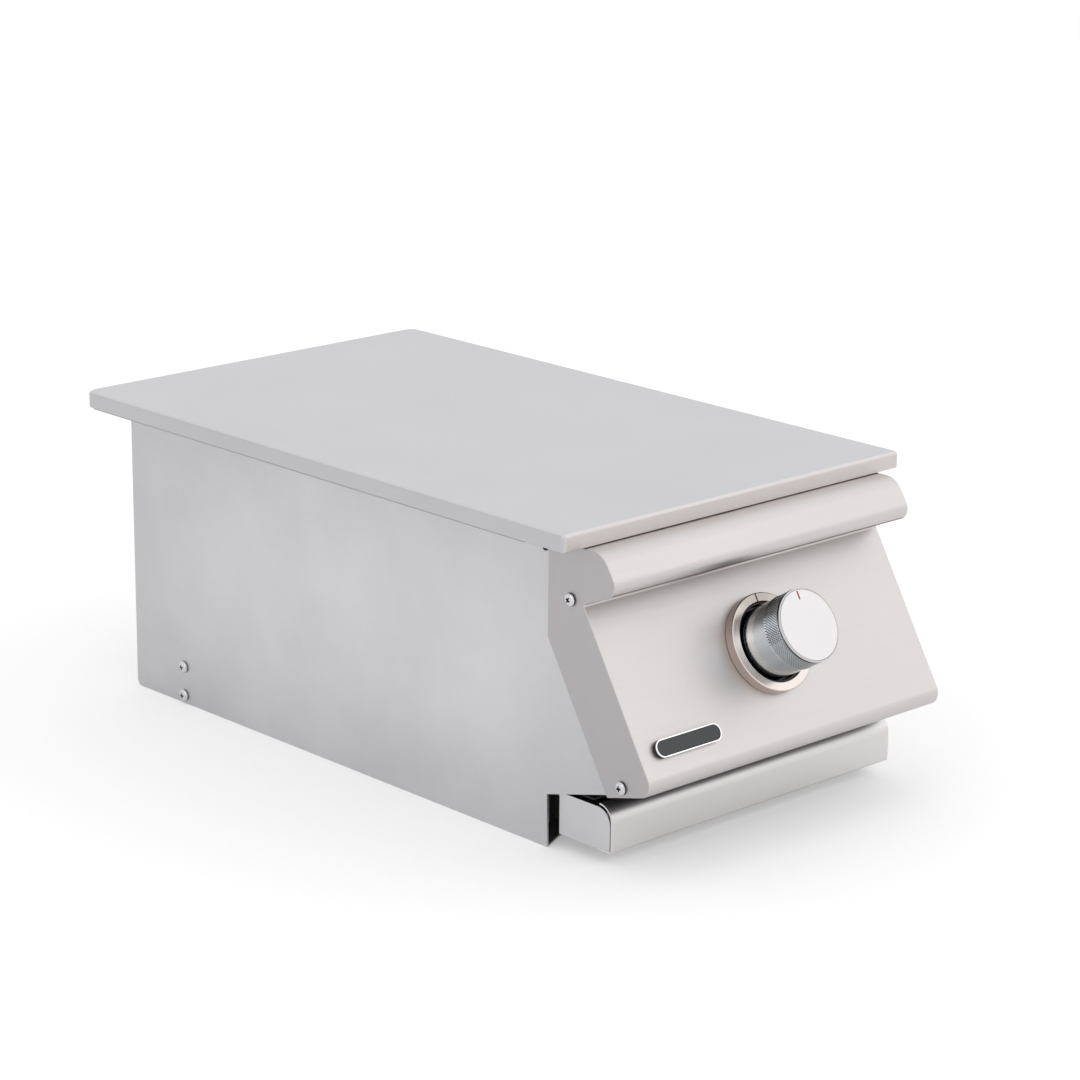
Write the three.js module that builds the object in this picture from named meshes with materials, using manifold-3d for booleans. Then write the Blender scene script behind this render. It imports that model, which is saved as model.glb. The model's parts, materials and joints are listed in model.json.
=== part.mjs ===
// Built in side burner: a slide in steel box with a sloping fascia, one gas burner under a rod grate,
// a flat lift off cover and a drip tray that pulls out below the fascia.
// Lengths are millimetres and angles degrees. X runs to the right, Y to the back and Z up.
// Zero is the middle of the underside of the floor pan.

import * as THREE from 'three';
import { mergeVertices } from 'three/addons/utils/BufferGeometryUtils.js';
import Module from 'manifold-3d';

const wasm = await Module();
wasm.setup();

const degree = Math.PI / 180;

// Sheets and clearances
const wallSheet = 1.5; // side walls, back wall and fascia
const panSheet = 1.2; // cover, top frame, tray and inner panels
const seat = 0.3; // between two pieces that lie on each other
const slip = 0.8; // around a piece that slides or lifts out
const overrun = 6; // how far a cutting tool reaches past what it cuts
const weld = 0.4; // how far two stretches of one piece run into each other before they are joined

// Cover
const coverWidth = 336;
const coverDepth = 540;
const coverHeight = 12.4;
const coverCornerRadius = 3.5;
const coverEdgeRadius = 1.6;
const coverHem = 1.8; // between the cover's rim and the edge of the counter flange
const padRadius = 7;
const padInsetX = 14;
const padInsetY = 30;

// Gasket under the counter flange, outside the walls
const gasketWidth = 10;
const gasketThickness = 2;
const gasketInset = 2; // between its outer edge and the flange's
const gasketFront = 44; // behind the cover's front edge

// Body
const coverSide = 22.2; // the cover's side edge stands this far out from the side wall
const bodyWidth = coverWidth - 2 * coverSide;
const bodyHeight = 224.4; // floor pan's underside to the counter flange's underside
const coverLead = 36.8; // the cover's front edge stands this far in front of the body's front edge
const coverTail = 30; // and its rear edge this far behind the back wall
const bodyDepth = coverDepth - coverLead - coverTail;
const wallFootRadius = 5;

// Fascia, as corners of its outer outline seen from the side, and the bend at each
const faceAngle = 30.8; // the face leans back from the vertical by this much
const returnAngle = 15;
const notchHeight = 37.2; // where the line of the fascia's bottom return meets the body's front edge
const faceTopY = 1.8;
const faceTopDepth = 40.1; // below the counter flange's underside, as the brow's tip is
const browReach = 32.8; // the brow's sharp tip lies this far in front of the cover's front edge
const browTipDepth = 25.7;
const browTopReach = 16;
const browTopRadius = 6;
const browTipRadius = 8;
const faceTopRadius = 1.6;
const faceFootRadius = 8;
const cheekSheet = 1.2;
const cheekBand = 45.2; // width of the cheek behind the face
const cheekKneeRadius = 2;
const bendSteps = 4;
const slotSteps = 3;
const roundShare = 0.3; // how far the middle of a two facet edge lies in from its sharp corner

// Screws: heads of the fastening screws and of the small frame screws
const screwHeadRadius = 4.75;
const screwHeadHeight = 2.8;
const screwShankRadius = 2.5;
const screwShank = 3.3;
const frameScrewHeadRadius = 2.4;
const frameScrewHeadHeight = 1.4;
const frameScrewShankRadius = 1.5;
const screwSides = 10;
const screwDomeSteps = 3;
const cheekScrewBack = 22.9; // upper cheek screw in front of the cheek's rear edge
const cheekScrewDepth = 38.9; // upper cheek screw below the counter flange
const footScrewBack = 14.4; // lower cheek screw from the cheek's rear slope, along the bottom
const footScrewRise = 7.2; // lower cheek screw above the bottom return
const rearScrewInset = 60.8; // rear wall screws in front of the back wall
const rearScrewLow = 6.3;
const rearScrewHigh = 29.5;
const frameScrewInset = 3.4;
const frameScrewDepth = 8.1;

// Floor pan
const floorFlange = 15;
const floorFlangeInset = 22;
const floorChamferWidth = 19;
const floorChamferDepth = 9;
const floorSlotLength = 70;
const floorSlotWidth = 5;
const floorSlotSpacing = 62;
const floorSlotRows = 6;
const floorSlotOffset = 68;

// Back wall
const backFlange = 12;
const backSlotLength = 44;
const backSlotWidth = 5;
const backSlotSpacingX = 56;
const backSlotSpacingZ = 14;
const backSlotColumns = 4;
const backSlotRows = 3;
const backSlotDepth = 34;

// Front baffle, between the controls and the burner
const baffleBack = 10.4; // behind the body's front edge
const controlFloor = 47.9; // top of the baffle's forward foot
const controlFloorReach = 55;
const baffleBend = 2;

// Top frame and grate
const openingSide = 10.8; // between the opening and the outside of the side wall
const openingWidth = bodyWidth - 2 * openingSide;
const openingInset = 62; // behind the cover's front edge
const openingTail = 48; // in front of the cover's rear edge
const openingDepth = coverDepth - openingInset - openingTail;
const recessDepth = 12.4;
const ledgeWidth = 13;
const grateBarWidth = 5;
const grateBarHeight = 14;
const grateRodRadius = 3.5;
const grateRodSpacing = 38;
const rodEndShare = 0.5; // of a pitch, kept free at least at each end of the grate
const grateRods = 2 * Math.floor(openingDepth / (2 * grateRodSpacing) - rodEndShare) + 1;
const grateRodSides = 8;
const grateRodSink = 1.2;
const grateRailOffset = 56;

// Drip tray
const traySide = 4.3; // between the tray's front and the outside of the side wall
const trayWidth = bodyWidth - 2 * traySide;
const trayReach = 23; // the tray's front stands this far in front of the cover's front edge
const trayFoot = 10.5;
const trayTop = 44.8;
const trayLipRadius = 12;
const trayLip = 12.5;
const trayHem = 13;
const trayBendRadius = 2;
const trayWing = 53;
const trayWingTop = 42;
const trayWingCorner = 9;
const panSide = 15.5; // between the pan's trough and the tray's side
const panWidth = trayWidth - 2 * panSide;
const panLead = 3.6; // between the tray's front face and its pan
const panTail = 59.4; // between the pan and the outside of the back wall
const panDepth = coverLead + bodyDepth + trayReach - panLead - panTail;
const panFlange = 13.2;
const panRim = 37.7;
const panCornerRadius = 3;

// Tray rails
const railDepth = 20;
const railLeg = 14;
const railBackInset = 20;

// Control axis, square to the face
const knobShare = 0.4383; // of the way down the face
const bezelRadius = 36.2;
const bezelBore = 29.4;
const bezelHeight = 7.9;
const bezelRound = 0.9;
const bezelTickWidth = 0.9;
const bezelTickDepth = 0.5;
const collarHeight = 6.4;
const collarWall = 1.2;
const collarHole = 9;
const fasciaHole = 14;
const knobRadius = 27.2;
const knobSkirtRadius = 26.6;
const knobRear = 6; // above the face, inside the bezel
const knobFront = 47.4;
const knobKnurlRear = 30;
const knobKnurlFront = 45;
const knobLipRadius = 26.9;
const knobEdge = 1;
const knobWall = 2.6;
const knobHubRadius = 8;
const knobCapRadius = 24.6;
const knobCapThickness = 1.8;
const knobMarkWidth = 1.3;
const knobMarkLength = 6.6;
const knobMarkDepth = 0.5;
const knobMarkInset = 0.8; // between the mark and the cap's edge
const markFit = 0.1;
const knobSides = 36;
const boreFit = 0.3;
const pushTravel = 3;

// Badge, left blank
const badgeLength = 62;
const badgeHeight = 13;
const badgeThickness = 3.4;
const badgeRim = 1.4;
const badgeRecess = 0.9;
const badgeField = 0.5;
const badgeSide = 43.3; // between the badge's middle and the outside of the side wall
const badgeOffset = bodyWidth / 2 - badgeSide;
const badgeRise = 30; // up the face from its foot
const badgeSteps = 8;

// Gas valve, along the control axis behind the face
const stemRadius = 4;
const stemFlat = 1.3;
const stemFlatLength = 20;
const stemInKnob = 16; // stem inside the knob's hub
const bonnetFront = 10; // below the face
const bonnetHeight = 9;
const bonnetRadius = 13;
const bonnetPlate = 2.4;
const valveRadius = 13;
const valveLength = 38;
const valveWall = 4;
const plugRadius = 8.2;
const plugTaper = 0.8;
const plugLength = 25;
const plugSocket = 9; // depth of the stem's socket in the plug
const valveFit = 0.3;
const valveInletRadius = 7;
const valveOutletRadius = 5.5;
const valveOutletLength = 7;
const stemCollarRadius = 6.6;
const stemCollarHeight = 1.2;
const valveSides = 16;

// Manifold pipe, bracket and inlet
const pipeRadius = 8.6;
const pipeWall = 2;
const pipeDepth = 26; // below the valve's axis, square to it
const pipeAlong = 22; // from the valve's front
const pipeSide = 19.8; // between the run along the right wall and that wall's outside
const pipeReach = bodyWidth / 2 - pipeSide;
const pipeBend = 24;
const pipeLeft = 26;
const pipeSides = 10;
const pipePlugHead = 5;
const pipePlugRadius = 9.4;
const bracketOffset = 70;
const bracketFlange = 18;
const bracketRise = 14;
const bracketLead = 14;
const inletHexRadius = 13;
const inletHexLength = 9;
const inletCollarRadius = 10.5;
const inletThreadRadius = 9;
const inletReach = 19;
const inletBore = 5;
const backGrommetWall = 1.6;

// Burner
const burnerDepth = 74.4; // burner's foot below the counter flange's underside
const burnerHeight = bodyHeight - burnerDepth;
const headRadius = 52;
const headHeight = 32;
const headWall = 5;
const headFloor = 5;
const headFlare = 8; // the head's foot is narrower than its rim by this much all round
const headFootRadius = headRadius - headFlare;
const headSides = 36;
const portCount = 24;
const portWidth = 2.4;
const portDepth = 4.5;
const throatRadius = 15;
const throatWall = 3;
const throatRise = 16;
const mouthLead = 60; // burner's mouth behind the baffle
const mouthRadius = 18;
const mouthLength = 26;
const mouthFlare = 10;
const burnerPadRadius = 5;
const burnerPadHeight = 4;
const burnerScrewShank = 7;
const burnerScrewEnd = 0.4; // between the screw's tip and the bottom of its hole
const capRadius = 50;
const capRim = 3;
const capDome = 7;
const capSpigotWall = 2.5;
const capSpigotDepth = 5;
const capDimpleRadius = 12;
const capDimpleDepth = 2;
const supportWidth = 36;
const supportDepth = 20;
const supportSheet = 1.5;
const supportBend = 2;

// Air shutter, orifice and gas tube
const shutterWall = 1.2;
const shutterLength = 20;
const shutterWindow = 11;
const shutterWindowShare = 0.25; // of the way round, each of two windows
const shutterFit = 0.4;
const orificeRadius = 5;
const orificeTip = 10;
const orificeHexRadius = 7.5;
const orificeHexLength = 9;
const tubeRadius = 4;
const tubeWall = 1;
const tubeLeadOut = 34;
const tubeLeadIn = 39;
const tubeSides = 8;
const tubeSteps = 12;
const baffleTubeHole = 12;

// Igniter
const electrodeRadius = 61.5; // from the burner's middle
const electrodeTurn = 45; // from the front, to the right
const ceramicRadius = 3.5;
const ceramicFoot = 22; // below the burner's foot
const ceramicHead = 22; // above the burner's foot
const ceramicCollar = 5.2;
const ceramicCollarHeight = 5;
const electrodePin = 1;
const pinFit = 0.3;
const pinRise = 12;
const pinLean = 3.6;
const pinTail = 2.5;
const igniterPlate = 1.2;
const igniterPlateWidth = 16;
const igniterPlateDepth = 9;
const igniterTab = 9;
const leadRadius = 1.5;
const leadRun = 30; // the lead's level below the burner's foot, past the ceramic
const leadSides = 8;
const leadSteps = 32;
const leadHole = 4;
const leadOffset = 36;
const leadClear = 28;

// Places worked out from the sizes above
const bodyFront = coverLead;
const bodyRear = coverLead + bodyDepth;
const wallOuter = bodyWidth / 2;
const wallInner = wallOuter - wallSheet;
const innerReach = wallInner - seat; // outermost face of what stands between the walls
const cheekOuter = wallOuter + seat + cheekSheet;
const fasciaTop = bodyHeight - seat;
const coverFoot = bodyHeight + seat;
const coverUnderside = coverFoot + coverHeight - panSheet;
const downFace = new THREE.Vector2(-Math.sin(faceAngle * degree), -Math.cos(faceAngle * degree));
const alongReturn = new THREE.Vector2(Math.cos(returnAngle * degree), -Math.sin(returnAngle * degree));
const faceTop = new THREE.Vector2(faceTopY, bodyHeight - faceTopDepth);
const notch = new THREE.Vector2(bodyFront, notchHeight);
const faceFoot = meeting(faceTop, downFace, notch, alongReturn);
const faceLength = faceTop.distanceTo(faceFoot);
const knobDrop = knobShare * faceLength;
const controlSpot = faceTop.clone().addScaledVector(downFace, knobDrop);
const baffleY = bodyFront + baffleBack;
const openingMiddle = openingInset + openingDepth / 2;
const ledgeTop = bodyHeight - recessDepth + panSheet;
const burnerY = openingMiddle;
const mouthY = baffleY + panSheet + mouthLead;
const throatHeight = burnerHeight + throatRise;

// Materials
function finish(color, roughness, metalness) {
  return new THREE.MeshStandardMaterial({ color, roughness, metalness });
}
const brushedSteel = finish('#d6d3d1', 0.38, 1);
const coverSteel = finish('#cfcfd0', 0.42, 1);
const wallSteel = finish('#c9c9cb', 0.4, 1);
const plainSteel = finish('#b9b8b6', 0.5, 1);
const rodSteel = finish('#c4c2bf', 0.35, 1);
const screwSteel = finish('#d9d9da', 0.25, 1);
const nickel = finish('#c9bdb4', 0.28, 1);
const knobAluminium = finish('#dfe0e1', 0.3, 1);
const brass = finish('#b99a57', 0.4, 1);
const copper = finish('#b87a55', 0.35, 1);
const blackPlastic = finish('#111112', 0.35, 0);
const badgeEnamel = finish('#474a4b', 0.45, 0);
const redEnamel = finish('#c4213c', 0.4, 0);
const ceramicWhite = finish('#ece8df', 0.55, 0);
const leadRubber = finish('#2a2a2b', 0.6, 0);
const padSilicone = finish('#d8d6d2', 0.7, 0);
const gasketFoam = finish('#2c2c2e', 0.85, 0);

// Where two lines meet, each given by a point and a direction
function meeting(pointA, alongA, pointB, alongB) {
  const gap = pointB.clone().sub(pointA);
  const step = gap.cross(alongB) / alongA.cross(alongB);
  return pointA.clone().addScaledVector(alongA, step);
}

// A corner of an outline: a place and the radius of its bend
function corner(x, y, radius = 0) {
  return { at: new THREE.Vector2(x, y), radius };
}

// The corners of an outline turned into points, with an arc at each bend
function bendPoints(corners, closed, steps = bendSteps) {
  const points = [];
  corners.forEach(({ at, radius }, index) => {
    const last = corners.length - 1;
    if (radius <= 0 || (!closed && (index === 0 || index === last))) {
      points.push(at.clone());
      return;
    }
    const before = corners[(index + last) % corners.length].at;
    const after = corners[(index + 1) % corners.length].at;
    const toBefore = before.clone().sub(at).normalize();
    const toAfter = after.clone().sub(at).normalize();
    const half = Math.acos(THREE.MathUtils.clamp(toBefore.dot(toAfter), -1, 1)) / 2;
    const bisector = toBefore.clone().add(toAfter).normalize();
    const centre = at.clone().addScaledVector(bisector, radius / Math.sin(half));
    const start = at.clone().addScaledVector(toBefore, radius / Math.tan(half)).sub(centre);
    const turn = (Math.PI - 2 * half) * Math.sign(toAfter.cross(toBefore));
    for (let step = 0; step <= steps; step += 1) {
      const spoke = start.clone().rotateAround(new THREE.Vector2(), (turn * step) / steps);
      points.push(centre.clone().add(spoke));
    }
  });
  return points;
}

// The same open outline moved to the left of its run by a distance, its bends growing or shrinking
function shifted(corners, distance) {
  const runs = corners.slice(1).map(({ at }, index) => at.clone().sub(corners[index].at).normalize());
  return corners.map(({ at, radius }, index) => {
    const before = runs[Math.max(index - 1, 0)];
    const after = runs[Math.min(index, runs.length - 1)];
    const leftBefore = new THREE.Vector2(-before.y, before.x);
    const leftAfter = new THREE.Vector2(-after.y, after.x);
    const mitre = leftBefore.clone().add(leftAfter).normalize();
    const moved = at.clone().addScaledVector(mitre, distance / mitre.dot(leftAfter));
    const turn = Math.sign(before.cross(after));
    return { at: moved, radius: radius > 0 ? Math.max(radius - turn * distance, 0) : 0 };
  });
}

// A bent sheet's section: the outline of one side and, a thickness to its left, the other side
function sheetShape(corners, thickness) {
  const inner = bendPoints(shifted(corners, thickness), false).reverse();
  return new THREE.Shape([...bendPoints(corners, false), ...inner]);
}

function closedShape(corners) {
  return new THREE.Shape(bendPoints(corners, true));
}

function rectangle(width, depth, radius = 0) {
  const [x, y] = [width / 2, depth / 2];
  const signs = [[-1, -1], [1, -1], [1, 1], [-1, 1]];
  return closedShape(signs.map(([signX, signY]) => corner(signX * x, signY * y, radius)));
}

function circlePath(x, y, radius, sides) {
  const points = [];
  for (let side = 0; side < sides; side += 1) {
    const angle = (2 * Math.PI * side) / sides;
    points.push(new THREE.Vector2(x + radius * Math.cos(angle), y + radius * Math.sin(angle)));
  }
  return new THREE.Path(points);
}

// A slot with round ends, along the first direction of its plate
function slotPath(x, y, length, width) {
  const reach = (length - width) / 2;
  const points = [];
  for (let end = 0; end < 2; end += 1) {
    for (let step = 0; step <= slotSteps; step += 1) {
      const angle = Math.PI * (end - 0.5 + step / slotSteps);
      const side = end === 0 ? reach : -reach;
      const [across, up] = [(width / 2) * Math.cos(angle), (width / 2) * Math.sin(angle)];
      points.push(new THREE.Vector2(x + side + across, y + up));
    }
  }
  return new THREE.Path(points);
}

function extrude(shape, depth) {
  return new THREE.ExtrudeGeometry(shape, { depth, bevelEnabled: false });
}

// A section drawn with Y across and Z up, run along X and centred on it
function alongX(shape, width) {
  const basis = new THREE.Matrix4().makeBasis(
    new THREE.Vector3(0, 1, 0),
    new THREE.Vector3(0, 0, 1),
    new THREE.Vector3(1, 0, 0),
  );
  return extrude(shape, width).translate(0, 0, -width / 2).applyMatrix4(basis);
}

// A section drawn with X across and Z up, run along Y from zero to the back
function alongY(shape, depth) {
  return extrude(shape, depth).rotateX(Math.PI / 2).translate(0, depth, 0);
}

function block(width, depth, height) {
  return new THREE.BoxGeometry(width, depth, height);
}

// A turned piece about Z, from pairs of radius and height
function turned(profile, sides) {
  const points = profile.map(([radius, height]) => new THREE.Vector2(radius, height));
  return new THREE.LatheGeometry(points, sides).rotateX(Math.PI / 2);
}

// The same along Y, its heights running to the back
function turnedAlongY(profile, sides) {
  return turned(profile, sides).rotateX(-Math.PI / 2);
}

function rod(radius, from, to, sides) {
  return turned([[0, from], [radius, from], [radius, to], [0, to]], sides);
}

// A round section with a bore, or without one, swept along a curve
function sweep(curve, radius, bore, sides, steps) {
  const section = new THREE.Shape(circlePath(0, 0, radius, sides).getPoints());
  if (bore > 0) section.holes.push(circlePath(0, 0, bore, sides));
  return new THREE.ExtrudeGeometry(section, { steps, extrudePath: curve, bevelEnabled: false });
}

// Joining and cutting
function solid(geometry) {
  const bare = new THREE.BufferGeometry();
  bare.setAttribute('position', geometry.getAttribute('position').clone());
  if (geometry.index) bare.setIndex(geometry.index.clone());
  const merged = mergeVertices(bare);
  const vertProperties = Float32Array.from(merged.getAttribute('position').array);
  const triVerts = Uint32Array.from(merged.index.array);
  return new wasm.Manifold(new wasm.Mesh({ numProp: 3, vertProperties, triVerts }));
}

function shell(body) {
  const mesh = body.getMesh();
  const indexed = new THREE.BufferGeometry();
  indexed.setAttribute('position', new THREE.BufferAttribute(mesh.vertProperties.slice(), 3));
  indexed.setIndex(new THREE.BufferAttribute(mesh.triVerts.slice(), 1));
  const faces = indexed.toNonIndexed();
  faces.computeVertexNormals();
  return faces;
}

function joined(geometries) {
  return shell(geometries.map(solid).reduce((whole, next) => whole.add(next)));
}

function cutBy(geometry, tools) {
  return shell(tools.map(solid).reduce((whole, tool) => whole.subtract(tool), solid(geometry)));
}

function trimmedTo(geometry, keep) {
  return shell(solid(geometry).intersect(solid(keep)));
}

function piece(name, geometry, material, x = 0, y = 0, z = 0) {
  const mesh = new THREE.Mesh(geometry, material);
  mesh.name = name;
  mesh.position.set(x, y, z);
  return mesh;
}

function group(x, y, z, children) {
  const holder = new THREE.Group();
  holder.position.set(x, y, z);
  holder.add(...children);
  return holder;
}

// Fascia: one bent sheet from under the cover, over the brow, down the sloping face and back below it
function fasciaLine(returnEnd) {
  return [
    corner(bodyFront - seat, fasciaTop),
    corner(-browTopReach, fasciaTop, browTopRadius),
    corner(-browReach, bodyHeight - browTipDepth, browTipRadius),
    corner(faceTop.x, faceTop.y, faceTopRadius),
    corner(faceFoot.x, faceFoot.y, faceFootRadius),
    corner(returnEnd.x, returnEnd.y),
  ];
}

// The rear end of the cheek's bottom edge, where its slope behind the face meets the return's line
function cheekHeel() {
  const behind = new THREE.Vector2(-downFace.y, downFace.x).multiplyScalar(cheekBand);
  return meeting(faceTop.clone().add(behind), downFace, notch, alongReturn);
}

function fasciaPanel() {
  const sheet = alongX(sheetShape(fasciaLine(cheekHeel()), wallSheet), 2 * cheekOuter);
  const hole = rod(fasciaHole, -overrun, overrun, valveSides);
  hole.rotateX((90 - faceAngle) * degree).translate(0, controlSpot.x, controlSpot.y);
  return cutBy(sheet, [hole]);
}

// The outline inside the fascia sheet that the cheeks and the walls' front wings share
function insideFascia(returnEnd) {
  return shifted(fasciaLine(returnEnd), wallSheet + seat);
}

function cheekScrewSpots() {
  const heel = cheekHeel();
  const foot = heel.clone().addScaledVector(alongReturn, -footScrewBack);
  return [
    new THREE.Vector2(bodyFront - cheekScrewBack, bodyHeight - cheekScrewDepth),
    new THREE.Vector2(foot.x, foot.y + footScrewRise),
  ];
}

function cheek() {
  const heel = cheekHeel();
  const inside = insideFascia(heel);
  const knee = meeting(heel, downFace, notch, new THREE.Vector2(0, 1));
  const outline = closedShape([...inside, corner(knee.x - seat, knee.y, cheekKneeRadius)]);
  cheekScrewSpots().forEach(({ x, y }) => {
    outline.holes.push(circlePath(x, y, screwShankRadius + seat, screwSides));
  });
  return alongX(outline, cheekSheet);
}

// Side wall: the box's flank, with a wing that runs forward behind the cheek
function sideWall() {
  const inside = insideFascia(notch);
  const outline = closedShape([
    corner(bodyFront, fasciaTop),
    ...inside,
    corner(bodyFront, 0),
    corner(bodyRear, 0, wallFootRadius),
    corner(bodyRear, fasciaTop),
  ]);
  const rearScrewY = bodyRear - rearScrewInset;
  const spots = [
    ...cheekScrewSpots(),
    new THREE.Vector2(rearScrewY, rearScrewLow),
    new THREE.Vector2(rearScrewY, rearScrewHigh),
  ];
  spots.forEach(({ x, y }) => {
    outline.holes.push(circlePath(x, y, screwShankRadius + seat, screwSides));
  });
  const [frameX, frameY] = [bodyFront + frameScrewInset, bodyHeight - frameScrewDepth];
  outline.holes.push(circlePath(frameX, frameY, frameScrewShankRadius + seat, screwSides));
  return alongX(outline, wallSheet);
}

function panHeadScrew(headRadius, headHeight, shankRadius, shank) {
  const profile = [[0, -shank], [shankRadius, -shank], [shankRadius, 0], [headRadius, 0]];
  for (let step = 1; step < screwDomeSteps; step += 1) {
    const angle = (step / screwDomeSteps) * 90 * degree;
    profile.push([headRadius * Math.cos(angle), headHeight * Math.sin(angle)]);
  }
  profile.push([0, headHeight]);
  return turned(profile, screwSides);
}

// Screws stand out of the left or the right flank
function flankScrew(name, side, face, spot, geometry) {
  const screw = piece(name, geometry, screwSteel, side * (face + seat), spot.x, spot.y);
  screw.rotation.y = side * 90 * degree;
  return screw;
}

function flankScrews(side, label) {
  const throughCheek = screwShank + cheekSheet + seat;
  const large = panHeadScrew(screwHeadRadius, screwHeadHeight, screwShankRadius, screwShank);
  const long = panHeadScrew(screwHeadRadius, screwHeadHeight, screwShankRadius, throughCheek);
  const small = panHeadScrew(frameScrewHeadRadius, frameScrewHeadHeight, frameScrewShankRadius, screwShank);
  const [upper, lower] = cheekScrewSpots();
  const rearY = bodyRear - rearScrewInset;
  const rearHigh = new THREE.Vector2(rearY, rearScrewHigh);
  const rearLow = new THREE.Vector2(rearY, rearScrewLow);
  const frame = new THREE.Vector2(bodyFront + frameScrewInset, bodyHeight - frameScrewDepth);
  return [
    flankScrew(`cheek_screw_upper_${label}`, side, cheekOuter, upper, long),
    flankScrew(`cheek_screw_lower_${label}`, side, cheekOuter, lower, long),
    flankScrew(`wall_screw_upper_${label}`, side, wallOuter, rearHigh, large),
    flankScrew(`wall_screw_lower_${label}`, side, wallOuter, rearLow, large),
    flankScrew(`frame_screw_${label}`, side, wallOuter, frame, small),
  ];
}

function flank(side, label) {
  const wallX = side * (wallOuter - wallSheet / 2);
  const cheekX = side * (cheekOuter - cheekSheet / 2);
  return [
    piece(`side_wall_${label}`, sideWall(), wallSteel, wallX),
    piece(`cheek_${label}`, cheek(), wallSteel, cheekX),
    ...flankScrews(side, label),
  ];
}

// Floor pan: slotted plate with its front corners cut off and its sides turned up
function floorPan() {
  const [left, right] = [-innerReach, innerReach];
  const front = bodyFront + seat;
  const rear = bodyRear - wallSheet - seat;
  const plate = new THREE.Shape(
    [
      [left, front],
      [left + floorChamferWidth, front + floorChamferDepth],
      [right - floorChamferWidth, front + floorChamferDepth],
      [right, front],
      [right, rear],
      [left, rear],
    ].map(([x, y]) => new THREE.Vector2(x, y)),
  );
  const middle = (front + rear) / 2;
  for (let row = 0; row < floorSlotRows; row += 1) {
    const y = middle + (row - (floorSlotRows - 1) / 2) * floorSlotSpacing;
    plate.holes.push(slotPath(-floorSlotOffset, y, floorSlotLength, floorSlotWidth));
    plate.holes.push(slotPath(floorSlotOffset, y, floorSlotLength, floorSlotWidth));
  }
  const flangeLength = rear - front - 2 * floorFlangeInset;
  const flangeX = innerReach - panSheet / 2;
  const upright = block(panSheet, flangeLength, floorFlange + panSheet).translate(0, middle, 0);
  upright.translate(0, 0, (floorFlange + panSheet) / 2);
  const flanges = [-flangeX, flangeX].map((x) => upright.clone().translate(x, 0, 0));
  const drill = acrossBody(screwShankRadius, bodyRear - rearScrewInset, rearScrewLow);
  return cutBy(joined([extrude(plate, panSheet), ...flanges]), [drill]);
}

// Back wall: slotted for air, with side flanges and a hole for the gas inlet
function backWall() {
  const height = fasciaTop - panSheet - seat;
  const foot = panSheet + seat;
  const plate = new THREE.Shape(
    [[-innerReach, foot], [innerReach, foot], [innerReach, foot + height], [-innerReach, foot + height]].map(
      ([x, y]) => new THREE.Vector2(x, y),
    ),
  );
  for (let row = 0; row < backSlotRows; row += 1) {
    for (let column = 0; column < backSlotColumns; column += 1) {
      const x = (column - (backSlotColumns - 1) / 2) * backSlotSpacingX;
      const z = fasciaTop - backSlotDepth - row * backSlotSpacingZ;
      plate.holes.push(slotPath(x, z, backSlotLength, backSlotWidth));
    }
  }
  const inlet = pipeAxis();
  plate.holes.push(circlePath(pipeReach, inlet.y, inletCollarRadius + seat, valveSides));
  const sheet = alongY(plate, wallSheet).translate(0, bodyRear - wallSheet, 0);
  const side = block(panSheet, backFlange + weld, height - 2 * backFlange);
  side.translate(0, bodyRear - wallSheet - backFlange / 2 + weld / 2, foot + height / 2);
  const flangeX = innerReach - panSheet / 2;
  return joined([sheet, side.clone().translate(-flangeX, 0, 0), side.clone().translate(flangeX, 0, 0)]);
}

// Front baffle: shields the controls, and passes the gas tube, the ignition lead and the pipe.
// Its foot runs forward over the tray.
function frontBaffle() {
  const line = [
    corner(baffleY, fasciaTop),
    corner(baffleY, controlFloor, baffleBend),
    corner(baffleY - controlFloorReach, controlFloor),
  ];
  const reach = baffleBack - seat;
  const height = fasciaTop - controlFloor;
  const side = block(panSheet, reach + weld, height);
  side.translate(0, baffleY - (reach - weld) / 2, controlFloor + height / 2);
  const flangeX = innerReach - panSheet / 2;
  const whole = joined([
    alongX(sheetShape(line, panSheet), 2 * innerReach),
    side.clone().translate(-flangeX, 0, 0),
    side.clone().translate(flangeX, 0, 0),
  ]);
  const holeAt = (x, z, radius, sides) => {
    const drill = rod(radius, -overrun, overrun, sides).rotateX(90 * degree);
    return drill.translate(x, baffleY, z);
  };
  return cutBy(whole, [
    holeAt(pipeReach, pipeAxis().y, pipeRadius + slip, valveSides),
    holeAt(0, tubeHeightAtBaffle(), baffleTubeHole, valveSides),
    holeAt(leadOffset, leadLevel(), leadHole, screwSides),
    acrossBody(frameScrewShankRadius, bodyFront + frameScrewInset, bodyHeight - frameScrewDepth),
  ]);
}

// A drill through both flanks for a screw's shank
function acrossBody(shankRadius, y, z) {
  const drill = rod(shankRadius + seat, -innerReach - overrun, innerReach + overrun, screwSides);
  return drill.rotateY(90 * degree).translate(0, y, z);
}

// Top frame: the flange that lies on the counter, with a recess whose ledge carries the grate
function topFrame() {
  const margin = 2 * (panSheet + coverHem);
  const flange = rectangle(coverWidth - margin, coverDepth - margin, coverCornerRadius);
  const shiftY = openingMiddle - coverDepth / 2;
  flange.holes.push(holeFor(openingWidth, openingDepth, 0, shiftY));
  const wall = rectangle(openingWidth + 2 * panSheet, openingDepth + 2 * panSheet);
  wall.holes.push(holeFor(openingWidth, openingDepth, 0, 0));
  const ledge = rectangle(openingWidth + 2 * panSheet, openingDepth + 2 * panSheet);
  ledge.holes.push(holeFor(openingWidth - 2 * ledgeWidth, openingDepth - 2 * ledgeWidth, 0, 0));
  return joined([
    extrude(flange, panSheet),
    extrude(wall, recessDepth + panSheet).translate(0, shiftY, -recessDepth),
    extrude(ledge, panSheet).translate(0, shiftY, -recessDepth),
  ]);
}

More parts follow.
